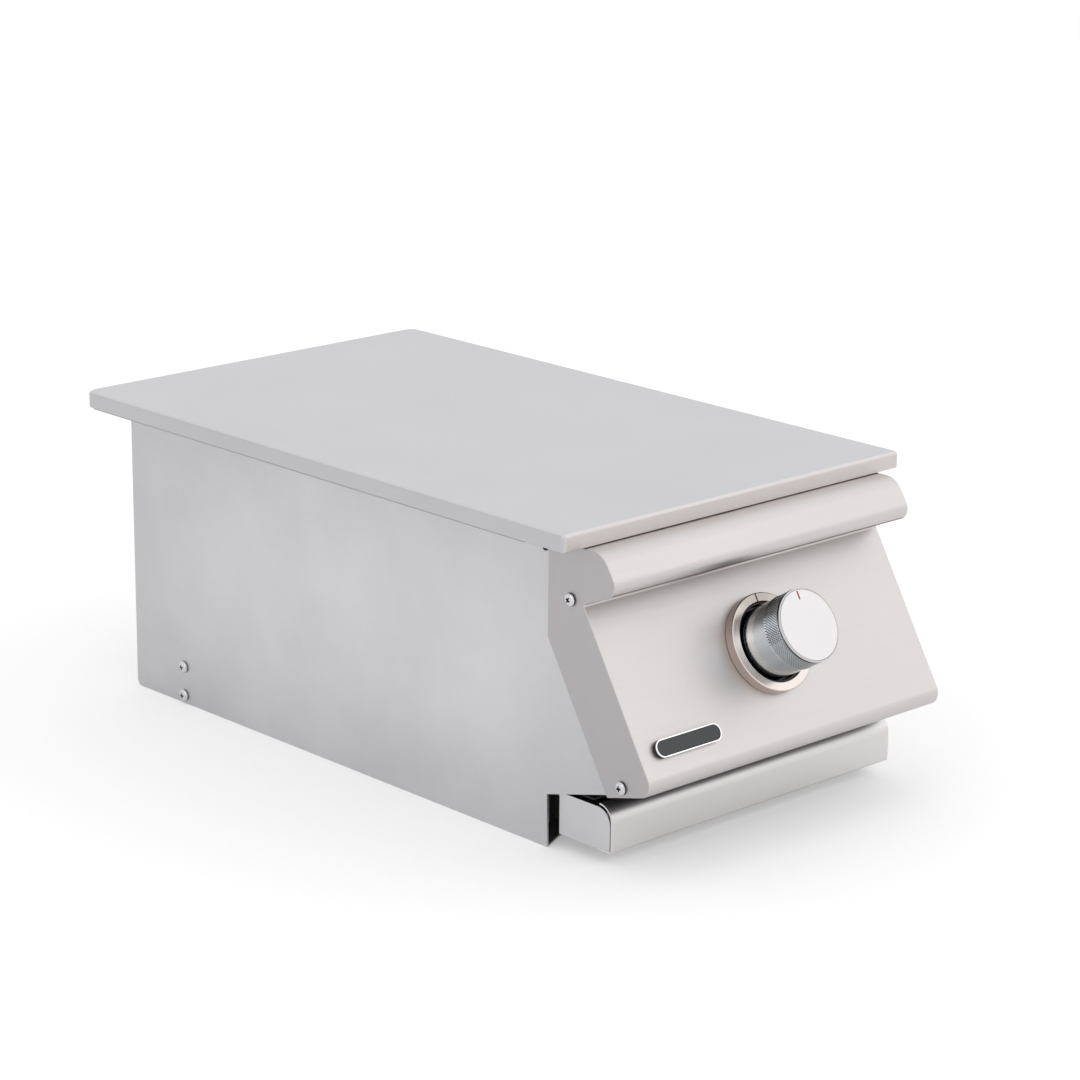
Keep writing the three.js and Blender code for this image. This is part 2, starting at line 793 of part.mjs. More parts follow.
function holeFor(width, depth, x, y) {
  const [halfX, halfY] = [width / 2, depth / 2];
  const signs = [[-1, -1], [1, -1], [1, 1], [-1, 1]];
  const points = signs.map(([signX, signY]) => new THREE.Vector2(x + signX * halfX, y + signY * halfY));
  return new THREE.Path(points);
}

// Grate: a flat bar frame with two rails and a row of rods welded on top
function grate() {
  const [width, depth] = [openingWidth - 2 * slip, openingDepth - 2 * slip];
  const frame = rectangle(width, depth);
  frame.holes.push(holeFor(width - 2 * grateBarWidth, depth - 2 * grateBarWidth, 0, 0));
  const rail = block(grateBarWidth, depth - 2 * grateBarWidth + 2 * weld, grateBarHeight);
  rail.translate(0, 0, grateBarHeight / 2);
  const parts = [
    extrude(frame, grateBarHeight),
    rail.clone().translate(-grateRailOffset, 0, 0),
    rail.clone().translate(grateRailOffset, 0, 0),
  ];
  const rodHeight = grateBarHeight + grateRodRadius - grateRodSink;
  for (let index = 0; index < grateRods; index += 1) {
    const y = (index - (grateRods - 1) / 2) * grateRodSpacing;
    const bar = rod(grateRodRadius, -width / 2, width / 2, grateRodSides);
    parts.push(bar.rotateY(90 * degree).translate(0, y, rodHeight));
  }
  return joined(parts);
}

// Cover: a flat pan with a rolled edge, open below
function cover() {
  const round = { bevelThickness: coverEdgeRadius, bevelSize: coverEdgeRadius, bevelSegments: 3 };
  const inset = 2 * coverEdgeRadius;
  const plan = rectangle(coverWidth - inset, coverDepth - inset, coverCornerRadius - coverEdgeRadius);
  const blank = new THREE.ExtrudeGeometry(plan, { depth: coverHeight, steps: 1, ...round });
  blank.translate(0, 0, -coverEdgeRadius);
  const keep = block(coverWidth + overrun, coverDepth + overrun, coverHeight);
  keep.translate(0, 0, coverHeight / 2);
  const inside = extrude(rectangle(coverWidth - 2 * panSheet, coverDepth - 2 * panSheet), coverHeight);
  return cutBy(trimmedTo(blank, keep), [inside.translate(0, 0, -panSheet)]);
}

function coverPad() {
  return rod(padRadius, bodyHeight + panSheet + seat, coverUnderside - seat, screwSides);
}

function coverPads() {
  const x = coverWidth / 2 - panSheet - coverHem - padInsetX;
  const places = [
    ['cover_pad_front_left', -x, padInsetY],
    ['cover_pad_front_right', x, padInsetY],
    ['cover_pad_rear_left', -x, coverDepth - padInsetY],
    ['cover_pad_rear_right', x, coverDepth - padInsetY],
  ];
  return places.map(([name, padX, padY]) => piece(name, coverPad(), padSilicone, padX, padY));
}

// Gasket: three strips in one, along the flange's sides and rear, that the counter carries
function counterGasket() {
  const outerX = coverWidth / 2 - panSheet - coverHem - gasketInset;
  const outerY = coverDepth - panSheet - coverHem - gasketInset;
  const innerX = outerX - gasketWidth;
  const innerY = outerY - gasketWidth;
  const outline = new THREE.Shape(
    [
      [-outerX, gasketFront],
      [-innerX, gasketFront],
      [-innerX, innerY],
      [innerX, innerY],
      [innerX, gasketFront],
      [outerX, gasketFront],
      [outerX, outerY],
      [-outerX, outerY],
    ].map(([x, y]) => new THREE.Vector2(x, y)),
  );
  return extrude(outline, gasketThickness);
}

// Drip tray: a hanging pan, and a front whose lip rolls back over two wings
function trayFront() {
  const front = -trayReach;
  const line = [
    corner(front + trayHem, trayFoot),
    corner(front, trayFoot, trayBendRadius),
    corner(front, trayTop, trayLipRadius),
    corner(front + trayLip, trayTop),
  ];
  const sheet = alongX(sheetShape(line, -panSheet), trayWidth);
  const wingFront = front + panSheet - weld;
  const wing = closedShape([
    corner(wingFront, trayFoot),
    corner(front + trayWing, trayFoot),
    corner(front + trayWing, trayWingTop),
    corner(wingFront, trayWingTop, trayWingCorner),
  ]);
  const wingX = trayWidth / 2 - panSheet / 2;
  const plate = alongX(wing, panSheet);
  return joined([sheet, plate.clone().translate(-wingX, 0, 0), plate.clone().translate(wingX, 0, 0)]);
}

function trayPan() {
  const halfWidth = panWidth / 2;
  const foot = trayFoot + panSheet + seat;
  const line = [
    corner(-halfWidth - panFlange, panRim),
    corner(-halfWidth, panRim, trayBendRadius),
    corner(-halfWidth, foot, panCornerRadius),
    corner(halfWidth, foot, panCornerRadius),
    corner(halfWidth, panRim, trayBendRadius),
    corner(halfWidth + panFlange, panRim),
  ];
  const trough = alongY(sheetShape(line, panSheet), panDepth);
  const endShape = new THREE.Shape(
    bendPoints(
      [
        corner(-halfWidth + weld, panRim),
        corner(-halfWidth + weld, foot + weld, panCornerRadius),
        corner(halfWidth - weld, foot + weld, panCornerRadius),
        corner(halfWidth - weld, panRim),
      ],
      false,
    ),
  );
  const end = alongY(endShape, panSheet);
  return joined([trough, end, end.clone().translate(0, panDepth - panSheet, 0)]);
}

// Tray rail: an angle on the side wall whose leg carries the pan's flange
function trayRail(side) {
  const leg = panRim - seat;
  const line = [
    corner(side * (innerReach - railLeg), leg),
    corner(side * innerReach, leg, trayBendRadius),
    corner(side * innerReach, leg - railDepth),
  ];
  const length = bodyDepth - railBackInset - seat;
  const rail = alongY(sheetShape(line, -side * panSheet), length).translate(0, bodyFront + seat, 0);
  return cutBy(rail, [acrossBody(screwShankRadius, bodyRear - rearScrewInset, rearScrewHigh)]);
}

// Knob and bezel, turned about the control axis with zero on the face
function bezel() {
  const profile = [
    [bezelBore, seat],
    [bezelRadius, seat],
    [bezelRadius, bezelHeight - bezelRound],
    [bezelRadius - bezelRound * roundShare, bezelHeight - bezelRound * roundShare],
    [bezelRadius - bezelRound, bezelHeight],
    [bezelBore + bezelRound, bezelHeight],
    [bezelBore + bezelRound * roundShare, bezelHeight - bezelRound * roundShare],
    [bezelBore, bezelHeight - bezelRound],
    [bezelBore, seat],
  ];
  const width = bezelRadius - bezelBore + overrun;
  const tick = block(bezelTickWidth, width, 2 * bezelTickDepth);
  tick.translate(0, bezelBore + width / 2, bezelHeight);
  return cutBy(turned(profile, knobSides), [tick]);
}

function bezelCollar() {
  const outer = bezelBore - seat;
  const inner = outer - collarWall;
  const profile = [
    [collarHole, seat],
    [outer, seat],
    [outer, collarHeight],
    [inner, collarHeight],
    [inner, seat + collarWall],
    [collarHole, seat + collarWall],
    [collarHole, seat],
  ];
  return turned(profile, knobSides);
}

function knobBody() {
  const boreEnd = knobRear + stemInKnob + seat;
  const plateRear = knobFront - knobCapThickness - seat - knobWall;
  const inner = knobSkirtRadius - knobWall;
  const bore = stemRadius + boreFit;
  const recess = knobFront - knobCapThickness - seat;
  const profile = [
    [0, boreEnd],
    [bore, boreEnd],
    [bore, knobRear],
    [knobHubRadius, knobRear],
    [knobHubRadius, plateRear],
    [inner, plateRear],
    [inner, knobRear],
    [knobSkirtRadius, knobRear],
    [knobSkirtRadius, knobKnurlRear],
    [knobRadius, knobKnurlRear + knobEdge / 2],
    [knobRadius, knobKnurlFront],
    [knobLipRadius, knobKnurlFront + knobEdge / 2],
    [knobLipRadius, knobFront - knobEdge],
    [knobLipRadius - knobEdge * roundShare, knobFront - knobEdge * roundShare],
    [knobLipRadius - knobEdge, knobFront],
    [knobCapRadius + boreFit, knobFront],
    [knobCapRadius + boreFit, recess],
    [0, recess],
  ];
  return turned(profile, knobSides);
}

function knobCap() {
  const rear = knobFront - knobCapThickness;
  const disc = rod(knobCapRadius, rear, knobFront, knobSides);
  const [width, length] = [knobMarkWidth + 2 * markFit, knobMarkLength + 2 * markFit];
  const groove = block(width, length, 2 * (knobMarkDepth + markFit));
  return cutBy(disc, [groove.translate(0, markMiddle(), knobFront)]);
}

function markMiddle() {
  return knobCapRadius - knobMarkInset - knobMarkLength / 2;
}

function knobMark() {
  const mark = block(knobMarkWidth, knobMarkLength, knobMarkDepth);
  return mark.translate(0, markMiddle(), knobFront - knobMarkDepth / 2);
}

// Badge: a blank plate with round ends, a raised rim and a dark field
function stadium(length, height) {
  const points = [];
  const reach = (length - height) / 2;
  for (let end = 0; end < 2; end += 1) {
    for (let step = 0; step <= badgeSteps; step += 1) {
      const angle = Math.PI * (end - 0.5 + step / badgeSteps);
      const side = end === 0 ? reach : -reach;
      const [across, up] = [(height / 2) * Math.cos(angle), (height / 2) * Math.sin(angle)];
      points.push(new THREE.Vector2(side + across, up));
    }
  }
  return new THREE.Shape(points);
}

function badgePlate() {
  const plate = extrude(stadium(badgeLength, badgeHeight), badgeThickness);
  const hollow = stadium(badgeLength - 2 * badgeRim, badgeHeight - 2 * badgeRim);
  const pocket = extrude(hollow, badgeRecess + overrun).translate(0, 0, badgeThickness - badgeRecess);
  return cutBy(plate, [pocket]);
}

function badgeInlay() {
  const inset = 2 * (badgeRim + markFit);
  return extrude(stadium(badgeLength - inset, badgeHeight - inset), badgeField);
}

// Valve pieces, along the control axis: heights below the face are negative
const bonnetTop = -bonnetFront;
const bonnetFoot = bonnetTop - bonnetHeight;
const valveTop = bonnetFoot - seat;
const valveFoot = valveTop - valveLength;
const plugTop = valveTop - valveFit;
const plugFoot = plugTop - plugLength;
const stemFoot = plugTop - plugSocket + pushTravel + seat;
const stemTop = knobRear + stemInKnob;
const stemCollarFoot = bonnetTop - bonnetPlate - seat - stemCollarHeight;

function valveBody() {
  const housing = turned(
    [
      [0, valveFoot],
      [valveRadius - valveWall, valveFoot],
      [valveRadius, valveFoot + valveWall],
      [valveRadius, valveTop],
      [0, valveTop],
    ],
    valveSides,
  );
  const outlet = rod(valveOutletRadius, valveFoot - valveOutletLength, valveFoot + weld, valveSides);
  const inlet = rod(valveInletRadius, 0, pipeDepth, valveSides);
  inlet.rotateX(90 * degree).translate(0, 0, valveTop - pipeAlong);
  const bore = turned(
    [
      [0, plugFoot - valveFit],
      [plugRadius - plugTaper + valveFit, plugFoot - valveFit],
      [plugRadius + valveFit, valveTop],
      [plugRadius + valveFit, valveTop + overrun],
      [0, valveTop + overrun],
    ],
    valveSides,
  );
  const outletBore = rod(tubeRadius - tubeWall, valveFoot - overrun - valveOutletLength, plugFoot, tubeSides);
  const inletBore = rod(tubeRadius, 0, pipeDepth + overrun, tubeSides);
  inletBore.rotateX(90 * degree).translate(0, 0, valveTop - pipeAlong);
  const saddle = rod(pipeRadius + seat, -pipeLeft, pipeLeft, valveSides);
  saddle.rotateY(90 * degree).translate(0, -pipeDepth, valveTop - pipeAlong);
  return cutBy(joined([housing, outlet, inlet]), [bore, outletBore, inletBore, saddle]);
}

function valvePlug() {
  const socket = stemRadius + boreFit;
  const floor = plugTop - plugSocket;
  const profile = [
    [0, plugFoot],
    [plugRadius - plugTaper, plugFoot],
    [plugRadius, plugTop],
    [socket, plugTop],
    [socket, floor],
    [0, floor],
  ];
  const gasway = rod(tubeRadius - tubeWall, -plugRadius - overrun, 0, tubeSides);
  gasway.rotateX(-90 * degree).translate(0, 0, valveTop - pipeAlong);
  const drain = rod(tubeRadius - tubeWall, plugFoot - overrun, valveTop - pipeAlong, tubeSides);
  return cutBy(turned(profile, valveSides), [gasway, drain]);
}

function valveBonnet() {
  const hole = stemRadius + boreFit;
  const wall = plugRadius + valveFit;
  const profile = [
    [wall, bonnetFoot],
    [bonnetRadius, bonnetFoot],
    [bonnetRadius, bonnetTop - bonnetPlate],
    [bonnetRadius - bonnetPlate, bonnetTop],
    [hole, bonnetTop],
    [hole, bonnetTop - bonnetPlate],
    [wall, bonnetTop - bonnetPlate],
    [wall, bonnetFoot],
  ];
  return turned(profile, valveSides);
}

// Stem: slides in the plug's socket, with a collar under the bonnet and a flat for the knob
function valveStem() {
  const shaft = turned(
    [
      [0, stemFoot],
      [stemRadius, stemFoot],
      [stemRadius, stemCollarFoot],
      [stemCollarRadius, stemCollarFoot],
      [stemCollarRadius, stemCollarFoot + stemCollarHeight],
      [stemRadius, stemCollarFoot + stemCollarHeight],
      [stemRadius, stemTop],
      [0, stemTop],
    ],
    valveSides,
  );
  const flat = block(2 * stemRadius, 2 * stemRadius, stemFlatLength + overrun);
  flat.translate(0, 2 * stemRadius - stemFlat, stemTop - (stemFlatLength - overrun) / 2);
  return cutBy(shaft, [flat]);
}

// Where the manifold pipe's axis lies, seen from the side
function pipeAxis() {
  const inward = new THREE.Vector2(-downFace.y, downFace.x);
  return controlSpot
    .clone()
    .addScaledVector(inward, pipeAlong - valveTop)
    .addScaledVector(downFace, pipeDepth);
}

function pipeEndY() {
  return bodyRear - wallSheet - inletHexLength - 2 * seat;
}

// Manifold pipe: across behind the fascia, a bend, and back along the right wall
function manifoldPipe() {
  const run = new THREE.CurvePath();
  const corner1 = new THREE.Vector3(pipeReach - pipeBend, 0, 0);
  const corner2 = new THREE.Vector3(pipeReach, pipeBend, 0);
  const axis = pipeAxis();
  run.add(new THREE.LineCurve3(new THREE.Vector3(-pipeLeft, 0, 0), corner1));
  run.add(new THREE.QuadraticBezierCurve3(corner1, new THREE.Vector3(pipeReach, 0, 0), corner2));
  run.add(new THREE.LineCurve3(corner2, new THREE.Vector3(pipeReach, pipeEndY() - axis.x, 0)));
  const frames = pipeStations(run);
  const port = rod(tubeRadius, 0, 2 * pipeRadius, tubeSides);
  port.rotateX(-faceAngle * degree);
  return cutBy(tubeThrough(frames, pipeRadius, pipeRadius - pipeWall, pipeSides), [port]);
}

// The pipe's rings: one at each end of a straight, and a few round the bend
function pipeStations(run) {
  const [first, bend, last] = run.curves;
  const stations = [[first.getPoint(0), first.getTangent(0)]];
  for (let step = 0; step <= bendSteps; step += 1) {
    const share = step / bendSteps;
    stations.push([bend.getPoint(share), bend.getTangent(share)]);
  }
  stations.push([last.getPoint(1), last.getTangent(1)]);
  return stations;
}

// A bored tube through stations that lie level, each a place and a direction
function tubeThrough(stations, outer, inner, sides) {
  const rings = stations.map(([at, along]) => {
    const across = new THREE.Vector3(0, 0, 1).cross(along).normalize();
    return [outer, inner].map((radius) =>
      Array.from({ length: sides }, (_, side) => {
        const angle = (2 * Math.PI * side) / sides;
        const [level, up] = [radius * Math.cos(angle), radius * Math.sin(angle)];
        return at.clone().addScaledVector(across, level).add(new THREE.Vector3(0, 0, up));
      }),
    );
  });
  const triangles = [];
  const quad = (a, b, c, d) => triangles.push(a, b, c, a, c, d);
  for (let side = 0; side < sides; side += 1) {
    const next = (side + 1) % sides;
    for (let ring = 0; ring < rings.length - 1; ring += 1) {
      const [out0, in0] = rings[ring];
      const [out1, in1] = rings[ring + 1];
      quad(out0[side], out0[next], out1[next], out1[side]);
      quad(in0[next], in0[side], in1[side], in1[next]);
    }
    const [outA, inA] = rings[0];
    const [outB, inB] = rings[rings.length - 1];
    quad(outA[next], outA[side], inA[side], inA[next]);
    quad(outB[side], outB[next], inB[next], inB[side]);
  }
  return new THREE.BufferGeometry().setFromPoints(triangles);
}

// Plug that closes the pipe's left end
function pipePlug() {
  const inner = pipeRadius - pipeWall - seat;
  return joined([
    rod(inner, -pipePlugHead, pipePlugHead, pipeSides),
    rod(pipePlugRadius, -pipePlugHead - seat, -seat, 6),
  ]);
}

// Bracket: an angle on the baffle whose web the pipe passes through
function pipeBracket() {
  const axis = pipeAxis();
  const back = baffleY - seat;
  const front = axis.x - bracketLead;
  const web = new THREE.Shape(
    [
      [front, axis.y - bracketRise],
      [back, axis.y - bracketRise],
      [back, axis.y + bracketRise],
      [front, axis.y + bracketRise],
    ].map(([x, y]) => new THREE.Vector2(x, y)),
  );
  web.holes.push(circlePath(axis.x, axis.y, pipeRadius + seat, valveSides));
  const flange = block(bracketFlange, panSheet, 2 * bracketRise);
  flange.translate((bracketFlange - panSheet) / 2, back - panSheet / 2, axis.y);
  return joined([alongX(web, panSheet), flange]);
}

// Gas inlet: a hex against the back wall's inside and a threaded nose through it
function inletFitting() {
  const noseFoot = inletHexLength - weld;
  const nose = inletHexLength + wallSheet + inletReach;
  const round = turnedAlongY(
    [
      [0, noseFoot],
      [inletCollarRadius, noseFoot],
      [inletCollarRadius, inletHexLength + wallSheet + seat],
      [inletThreadRadius, inletHexLength + wallSheet + 2 * seat],
      [inletThreadRadius, nose - backGrommetWall],
      [inletThreadRadius - backGrommetWall, nose],
      [0, nose],
    ],
    valveSides,
  );
  const hex = rod(inletHexRadius, 0, inletHexLength, 6).rotateX(-90 * degree);
  const bore = turnedAlongY(
    [[0, -overrun], [inletBore, -overrun], [inletBore, nose + overrun], [0, nose + overrun]],
    tubeSides,
  );
  return cutBy(joined([hex, round]), [bore]);
}

// Burner casting: an open head with ports round its rim and a throat that runs forward to its mouth.
// Zero is the middle of the burner's foot.
function burnerCasting() {
  const throatFront = mouthY - burnerY;
  const head = turned(
    [
      [0, 0],
      [headFootRadius, 0],
      [headRadius, headFlare],
      [headRadius, headHeight],
      [0, headHeight],
    ],
    headSides,
  );
  const throat = turnedAlongY(
    [
      [0, throatFront],
      [mouthRadius, throatFront],
      [mouthRadius, throatFront + mouthLength],
      [throatRadius, throatFront + mouthLength + mouthFlare],
      [throatRadius, -headFootRadius],
      [0, -headFootRadius],
    ],
    valveSides,
  ).translate(0, 0, throatRise);
  const pads = [-1, 1].map((side) => {
    const boss = rod(burnerPadRadius, -burnerPadHeight, weld, screwSides);
    return boss.translate((side * headFootRadius) / 2, 0, 0);
  });
  const screwTip = burnerScrewShank - burnerPadHeight - supportSheet - 2 * seat;
  const screwHoles = [-1, 1].map((side) => {
    const end = screwTip + burnerScrewEnd;
    const hole = rod(screwShankRadius + seat, -burnerPadHeight - overrun, end, screwSides);
    return hole.translate((side * headFootRadius) / 2, 0, 0);
  });
  const chamber = turned(
    [
      [0, headFloor],
      [headFootRadius - headWall, headFloor],
      [headRadius - headWall, headFloor + headFlare],
      [headRadius - headWall, headHeight + overrun],
      [0, headHeight + overrun],
    ],
    headSides,
  );
  const throatBore = turnedAlongY(
    [
      [0, throatFront - overrun],
      [mouthRadius - throatWall, throatFront - overrun],
      [mouthRadius - throatWall, throatFront + mouthLength],
      [throatRadius - throatWall, throatFront + mouthLength + mouthFlare],
      [throatRadius - throatWall, -headFootRadius + headWall],
      [0, -headFootRadius + headWall],
    ],
    valveSides,
  ).translate(0, 0, throatRise);
  const tools = [chamber, throatBore, ...screwHoles, ...shutterWindows(mouthRadius, throatFront)];
  for (let port = 0; port < portCount; port += 1) {
    const notchCut = block(portWidth, headWall + overrun, 2 * portDepth);
    notchCut.translate(0, headRadius - headWall / 2, headHeight);
    tools.push(notchCut.rotateZ((2 * Math.PI * port) / portCount));
  }
  return cutBy(joined([head, throat, ...pads]), tools);
}

// Two air windows in a sleeve of a radius, open to the left and the right, behind its front end
function shutterWindows(radius, front) {
  const height = 2 * radius * Math.sin(Math.PI * shutterWindowShare);
  return [-1, 1].map((side) => {
    const window = block(radius + overrun, shutterWindow, height);
    return window.translate((side * (radius + overrun)) / 2, front + shutterLength / 2, throatRise);
  });
}

// Air shutter: a cup that turns on the burner's mouth
function airShutter() {
  const inner = mouthRadius + shutterFit;
  const outer = inner + shutterWall;
  const hole = orificeRadius + seat;
  const front = -shutterWall - shutterFit;
  const profile = [
    [hole, front],
    [outer, front],
    [outer, shutterLength],
    [inner, shutterLength],
    [inner, -shutterFit],
    [hole, -shutterFit],
    [hole, front],
  ];
  const cup = turnedAlongY(profile, valveSides);
  return cutBy(cup, shutterWindows(outer, 0).map((window) => window.translate(0, 0, -throatRise)));
}

function orifice() {
  const hexBack = -shutterWall - shutterFit - seat;
  const hexFront = hexBack - orificeHexLength;
  const spud = turnedAlongY(
    [
      [0, hexBack - weld],
      [orificeRadius, hexBack - weld],
      [orificeRadius, orificeTip - orificeRadius / 2],
      [orificeRadius / 2, orificeTip],
      [0, orificeTip],
    ],
    valveSides,
  );
  const hex = rod(orificeHexRadius, hexFront, hexBack, 6).rotateX(-90 * degree);
  const bore = turnedAlongY(
    [
      [0, hexFront - overrun],
      [tubeRadius - tubeWall, hexFront - overrun],
      [tubeRadius - tubeWall, hexBack],
      [tubeWall, hexBack + tubeRadius],
      [tubeWall, orificeTip + overrun],
      [0, orificeTip + overrun],
    ],
    tubeSides,
  );
  return cutBy(joined([hex, spud]), [bore]);
}

// Gas tube from the valve's outlet up to the orifice
function gasTubeCurve() {
  const inward = new THREE.Vector2(-downFace.y, downFace.x);
  const startDepth = seat - valveFoot + valveOutletLength;
  const start = controlSpot.clone().addScaledVector(inward, startDepth);
  const leave = start.clone().addScaledVector(inward, tubeLeadOut);
  const endY = mouthY - shutterWall - shutterFit - 2 * seat - orificeHexLength;
  return new THREE.CubicBezierCurve3(
    new THREE.Vector3(0, start.x, start.y),
    new THREE.Vector3(0, leave.x, leave.y),
    new THREE.Vector3(0, endY - tubeLeadIn, throatHeight),
    new THREE.Vector3(0, endY, throatHeight),
  );
}

function tubeHeightAtBaffle() {
  const points = gasTubeCurve().getPoints(10 * tubeSteps);
  const nearest = (best, point) => (Math.abs(point.y - baffleY) < Math.abs(best.y - baffleY) ? point : best);
  return points.reduce(nearest).z;
}

// Burner cap: a shallow dome with a dimple, and a spigot that drops into the head
function burnerCap() {
  const spigot = headRadius - headWall - seat;
  const profile = [
    [0, capRim],
    [spigot - capSpigotWall, capRim],
    [spigot - capSpigotWall, -capSpigotDepth],
    [spigot, -capSpigotDepth],
    [spigot, 0],
    [capRadius, 0],
    [capRadius, capRim],
  ];
  const dimpleShare = capDimpleRadius / capRadius;
  for (let step = 1; step <= bendSteps; step += 1) {
    const share = 1 - (1 - dimpleShare) * (step / bendSteps);
    profile.push([capRadius * share, capRim + capDome * (1 - share * share)]);
  }
  const top = capRim + capDome * (1 - dimpleShare * dimpleShare);
  profile.push([capDimpleRadius - capDimpleDepth, top - capDimpleDepth]);
  profile.push([0, top - capDimpleDepth]);
  return turned(profile, headSides);
}

// Burner support: a channel from wall to wall under the head
function burnerSupport() {
  const half = supportWidth / 2;
  const line = [
    corner(half, -supportDepth),
    corner(half, 0, supportBend),
    corner(-half, 0, supportBend),
    corner(-half, -supportDepth),
  ];
  const channel = alongX(sheetShape(line, supportSheet), 2 * innerReach);
  const holes = [-1, 1].map((side) => {
    const hole = rod(screwShankRadius + seat, -supportSheet - overrun, overrun, screwSides);
    return hole.translate((side * headFootRadius) / 2, 0, 0);
  });
  return cutBy(channel, holes);
}

// A screw up through the support into one of the casting's pads
function burnerScrew(name, side) {
  const head = panHeadScrew(screwHeadRadius, screwHeadHeight, screwShankRadius, burnerScrewShank);
  const level = -burnerPadHeight - supportSheet - 2 * seat;
  const screw = piece(name, head, screwSteel, (side * headFootRadius) / 2, 0, level);
  screw.rotation.x = Math.PI;
  return screw;
}

// Igniter: ceramic insulator, its pin, the bracket on the support's front, and the lead to the valve
function electrodeSpot() {
  const turn = electrodeTurn * degree;
  return new THREE.Vector2(electrodeRadius * Math.sin(turn), -electrodeRadius * Math.cos(turn));
}

function electrodeCeramic() {
  const bore = electrodePin + pinFit;
  const collarTop = -igniterPlateDepth - seat;
  const profile = [
    [bore, -ceramicFoot],
    [ceramicRadius, -ceramicFoot],
    [ceramicRadius, collarTop + igniterPlate + 2 * seat],
    [ceramicCollar, collarTop + igniterPlate + 2 * seat],
    [ceramicCollar, collarTop + igniterPlate + 2 * seat + ceramicCollarHeight],
    [ceramicRadius, collarTop + igniterPlate + 2 * seat + ceramicCollarHeight],
    [ceramicRadius, ceramicHead],
    [bore, ceramicHead],
    [bore, -ceramicFoot],
  ];
  return turned(profile, screwSides);
}

function electrodePinRod() {
  const inward = electrodeSpot().normalize().multiplyScalar(-pinLean);
  const bend = ceramicHead + pinRise / 2;
  const tip = ceramicHead + pinRise;
  const straight = rod(electrodePin, -ceramicFoot - pinTail, bend, leadSides);
  const knee = new THREE.Vector3(0, 0, bend - weld);
  const slope = new THREE.LineCurve3(knee, new THREE.Vector3(inward.x, inward.y, tip));
  return joined([straight, sweep(slope, electrodePin, 0, leadSides, 1)]);
}

function igniterBracket() {
  const spot = electrodeSpot();
  const back = -supportWidth / 2 - seat;
  const front = spot.y - igniterPlateWidth / 2;
  const plate = rectangle(igniterPlateWidth, back - front);
  const middle = (front + back) / 2;
  plate.holes.push(circlePath(0, spot.y - middle, ceramicRadius + seat, screwSides));
  const shelf = extrude(plate, igniterPlate).translate(0, middle, 0);
  const tab = block(igniterPlateWidth, igniterPlate, igniterTab);
  tab.translate(0, back - igniterPlate / 2, igniterPlate - igniterTab / 2);
  return joined([shelf, tab]);
}

function leadLevel() {
  return burnerHeight - leadRun;
}

// The ignition lead's own route, from under the ceramic, forward through the baffle to the valve
function ignitionLead() {
  const spot = electrodeSpot();
  const from = burnerHeight - ceramicFoot - pinTail - seat;
  const level = leadLevel();
  const inward = new THREE.Vector2(-downFace.y, downFace.x);
  const target = controlSpot.clone().addScaledVector(inward, pipeAlong - valveTop);
  const route = new THREE.CatmullRomCurve3([
    new THREE.Vector3(spot.x, burnerY + spot.y, from),
    new THREE.Vector3(spot.x, burnerY + spot.y, (from + level) / 2),
    new THREE.Vector3(spot.x, burnerY + spot.y - leadClear, level),
    new THREE.Vector3(leadOffset, (burnerY + baffleY) / 2, level),
    new THREE.Vector3(leadOffset, baffleY + leadClear, level),
    new THREE.Vector3(leadOffset, baffleY, level),
    new THREE.Vector3(leadOffset, target.x + leadClear / 2, level),
    new THREE.Vector3((leadOffset + valveRadius) / 2, target.x, target.y),
    new THREE.Vector3(valveRadius + seat, target.x, target.y),
  ]);
  return sweep(route, leadRadius, 0, leadSides, leadSteps);
}

// Assembly
function chassis() {
  return [
    ...flank(-1, 'left'),
    ...flank(1, 'right'),
    piece('floor_pan', floorPan(), plainSteel),
    piece('back_wall', backWall(), wallSteel),
    piece('front_baffle', frontBaffle(), plainSteel),
    piece('fascia_panel', fasciaPanel(), brushedSteel),
    piece('top_frame', topFrame(), plainSteel, 0, coverDepth / 2, bodyHeight),
    piece('tray_rail_left', trayRail(-1), plainSteel),
    piece('tray_rail_right', trayRail(1), plainSteel),
  ];
}

function controls() {
  const badgeUp = knobDrop + badgeRise - faceLength;
  const fieldFoot = seat + badgeThickness - badgeRecess + markFit;
  const holder = group(0, controlSpot.x, controlSpot.y, [
    piece('knob_bezel', bezel(), nickel),
    piece('bezel_collar', bezelCollar(), blackPlastic),
    piece('knob_body', knobBody(), knobAluminium),
    piece('knob_cap', knobCap(), knobAluminium),
    piece('knob_index_mark', knobMark(), redEnamel),
    piece('badge_plate', badgePlate(), screwSteel, -badgeOffset, badgeUp, seat),
    piece('badge_field', badgeInlay(), badgeEnamel, -badgeOffset, badgeUp, fieldFoot),
    piece('valve_body', valveBody(), brass),
    piece('valve_plug', valvePlug(), brass),
    piece('valve_bonnet', valveBonnet(), plainSteel),
    piece('valve_stem', valveStem(), plainSteel),
  ]);
  holder.rotation.x = (90 - faceAngle) * degree;
  return holder;
}

function gasLine() {
  const axis = pipeAxis();
  const tube = sweep(gasTubeCurve(), tubeRadius, tubeRadius - tubeWall, tubeSides, tubeSteps);
  const plug = piece('manifold_plug', pipePlug(), brass, -pipeLeft, axis.x, axis.y);
  plug.rotation.y = 90 * degree;
  return [
    piece('manifold_pipe', manifoldPipe(), plainSteel, 0, axis.x, axis.y),
    plug,
    piece('manifold_bracket', pipeBracket(), plainSteel, bracketOffset),
    piece('gas_inlet', inletFitting(), brass, pipeReach, pipeEndY() + seat, axis.y),
    piece('gas_tube', tube, copper),
    piece('gas_orifice', orifice(), brass, 0, mouthY, throatHeight),
    piece('air_shutter', airShutter(), plainSteel, 0, mouthY, throatHeight),
  ];
}

